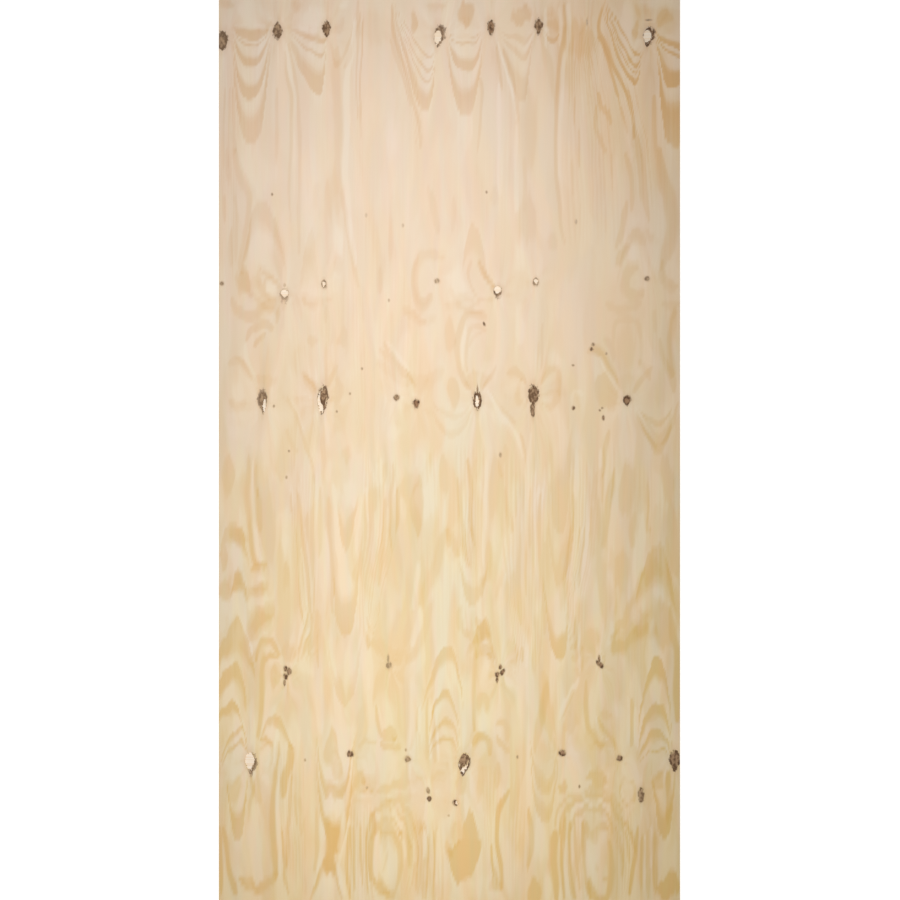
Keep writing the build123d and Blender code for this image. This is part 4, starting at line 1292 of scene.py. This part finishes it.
def along_walls(holes, rims):
    """Points just inside the walls of the holes, closer on the rim's darkest side, which is partly bark and
    partly painted shadow.
    """
    numbers = np.random.default_rng(5)
    points = []
    for (x, y, width, length, lean, tail), rim in zip(holes, rims):
        shade, side_x, side_y = rim[7:10]
        count = round(3 * (width + length) / crumb_gap)
        a, b = drop_outline(width - crumb_inset, length - crumb_inset, lean, tail, hole_ragged, 0, count)
        lean_to = (a * side_x / width + b * side_y / length) * 2
        clumps = unevenness(np.arange(count) * crumb_gap, 0 * a, 9, 10, count)
        for k in np.flatnonzero(clumps + lean_to + numbers.uniform(-0.5, 0.5, count) > shade - 0.35):
            low_down = max(0.0, -b[k] / length)
            inward = 1 - numbers.uniform(0.0, 0.1) - numbers.uniform(0.0, 0.5) * tail * low_down
            rise = numbers.uniform(*crumb_rise) * face_thickness
            across, along = (x + a[k] * inward) * mm, (y + b[k] * inward) * mm
            points.append((corner_x + across, corner_y + along, under_face + rise))
    return points


bark_crumbs = grown(tree, "bark_crumbs", {
    "Smallest": crumb_sizes[0], "Largest": crumb_sizes[1], "Seed": 4, "Material": knot_finish,
}, along_walls(open_holes, hole_rims))
mark_knots(bark_crumbs.data, all_knots)
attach(bark_crumbs, "root")


# Back veneer
# The plainer ribbon glued to the underside, with its own rings and a few small tight knots.
# Seen from above, like the places on the face.
back_columns = 245
back_row_steps = [(0, 13)]
back_hanging = [
    ((150, 1880), (262, 1885), 205, (2.2, 2.2), ((40, 52), (84, 104), (150, 190)), 0.7),
    ((520, 1905), (655, 1890), 590, (2.4, 2.0), ((55, 70), (120, 150)), 0.6),
    ((905, 1880), (1010, 1890), 960, (2.0, 2.6), ((35, 45), (78, 104), (165, 215)), 0.75),
]
back_standing = [
    ((60, 700), (190, 705), 128, (2.4, 2.4), ((60, 78), (130, 165)), 0.7),
    ((430, 690), (560, 700), 500, (2.0, 2.6), ((45, 58), (100, 128), (210, 260)), 0.75),
    ((820, 705), (930, 695), 872, (2.6, 2.2), ((50, 66), (118, 150)), 0.65),
]
back_knots = [row + (0.0, 0.0) for row in (
    (138, 1895, 17, 26, 0, 0.3, 0.08, 0.4), (270, 1898, 14, 20, 0, 0.0, 0.06, 0.5),
    (668, 1902, 19, 30, 4, 0.4, 0.08, 0.3), (1020, 1896, 15, 24, 0, 0.0, 0.06, 0.45),
    (50, 690, 18, 28, 0, -0.4, 0.08, 0.35), (566, 688, 20, 34, -5, -0.4, 0.1, 0.3),
    (940, 684, 16, 22, 0, 0.0, 0.06, 0.45), (380, 1310, 6, 8, 0, 0.0, 0.05, 0.5),
    (811, 1262, 7, 9, 0, 0.0, 0.05, 0.4), (1125, 1418, 5, 8, 0, 0.0, 0.05, 0.5),
)]
back_z = sheet_low.z
over_back = back_z + back_thickness
back_veneer = veneer_slab("back_veneer", back_z, over_back, back_columns, back_row_steps)
back_cutter = plugs("back_cutter", back_knots, back_z - overrun, over_back + overrun)
cut(back_veneer, back_cutter)
bpy.data.objects.remove(back_cutter)
places = mark_grain(back_veneer.data, back_knots)
tone = 0.55 * unevenness(*places, 40, 420, 31) + 0.4 * unevenness(*places, 16, 260, 32)
tone += ring_tone(*places, back_knots, back_hanging, back_standing)
keep(back_veneer.data, "latewood", "POINT", tone)
back_tones = (colour(240, 219, 190), colour(214, 180, 136))
back_veneer.data.materials.append(veneer_material("pine_back_veneer", *back_tones, *back_tones))
mark_knots(back_veneer.data, back_knots)
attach(back_veneer, "root")

back_plugs = plugs("back_knots", back_knots, back_z + knot_sink, over_back, shrink=plug_play)
mark_knots(back_plugs.data, back_knots)
back_plugs.data.materials.append(knot_finish)
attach(back_plugs, "root")
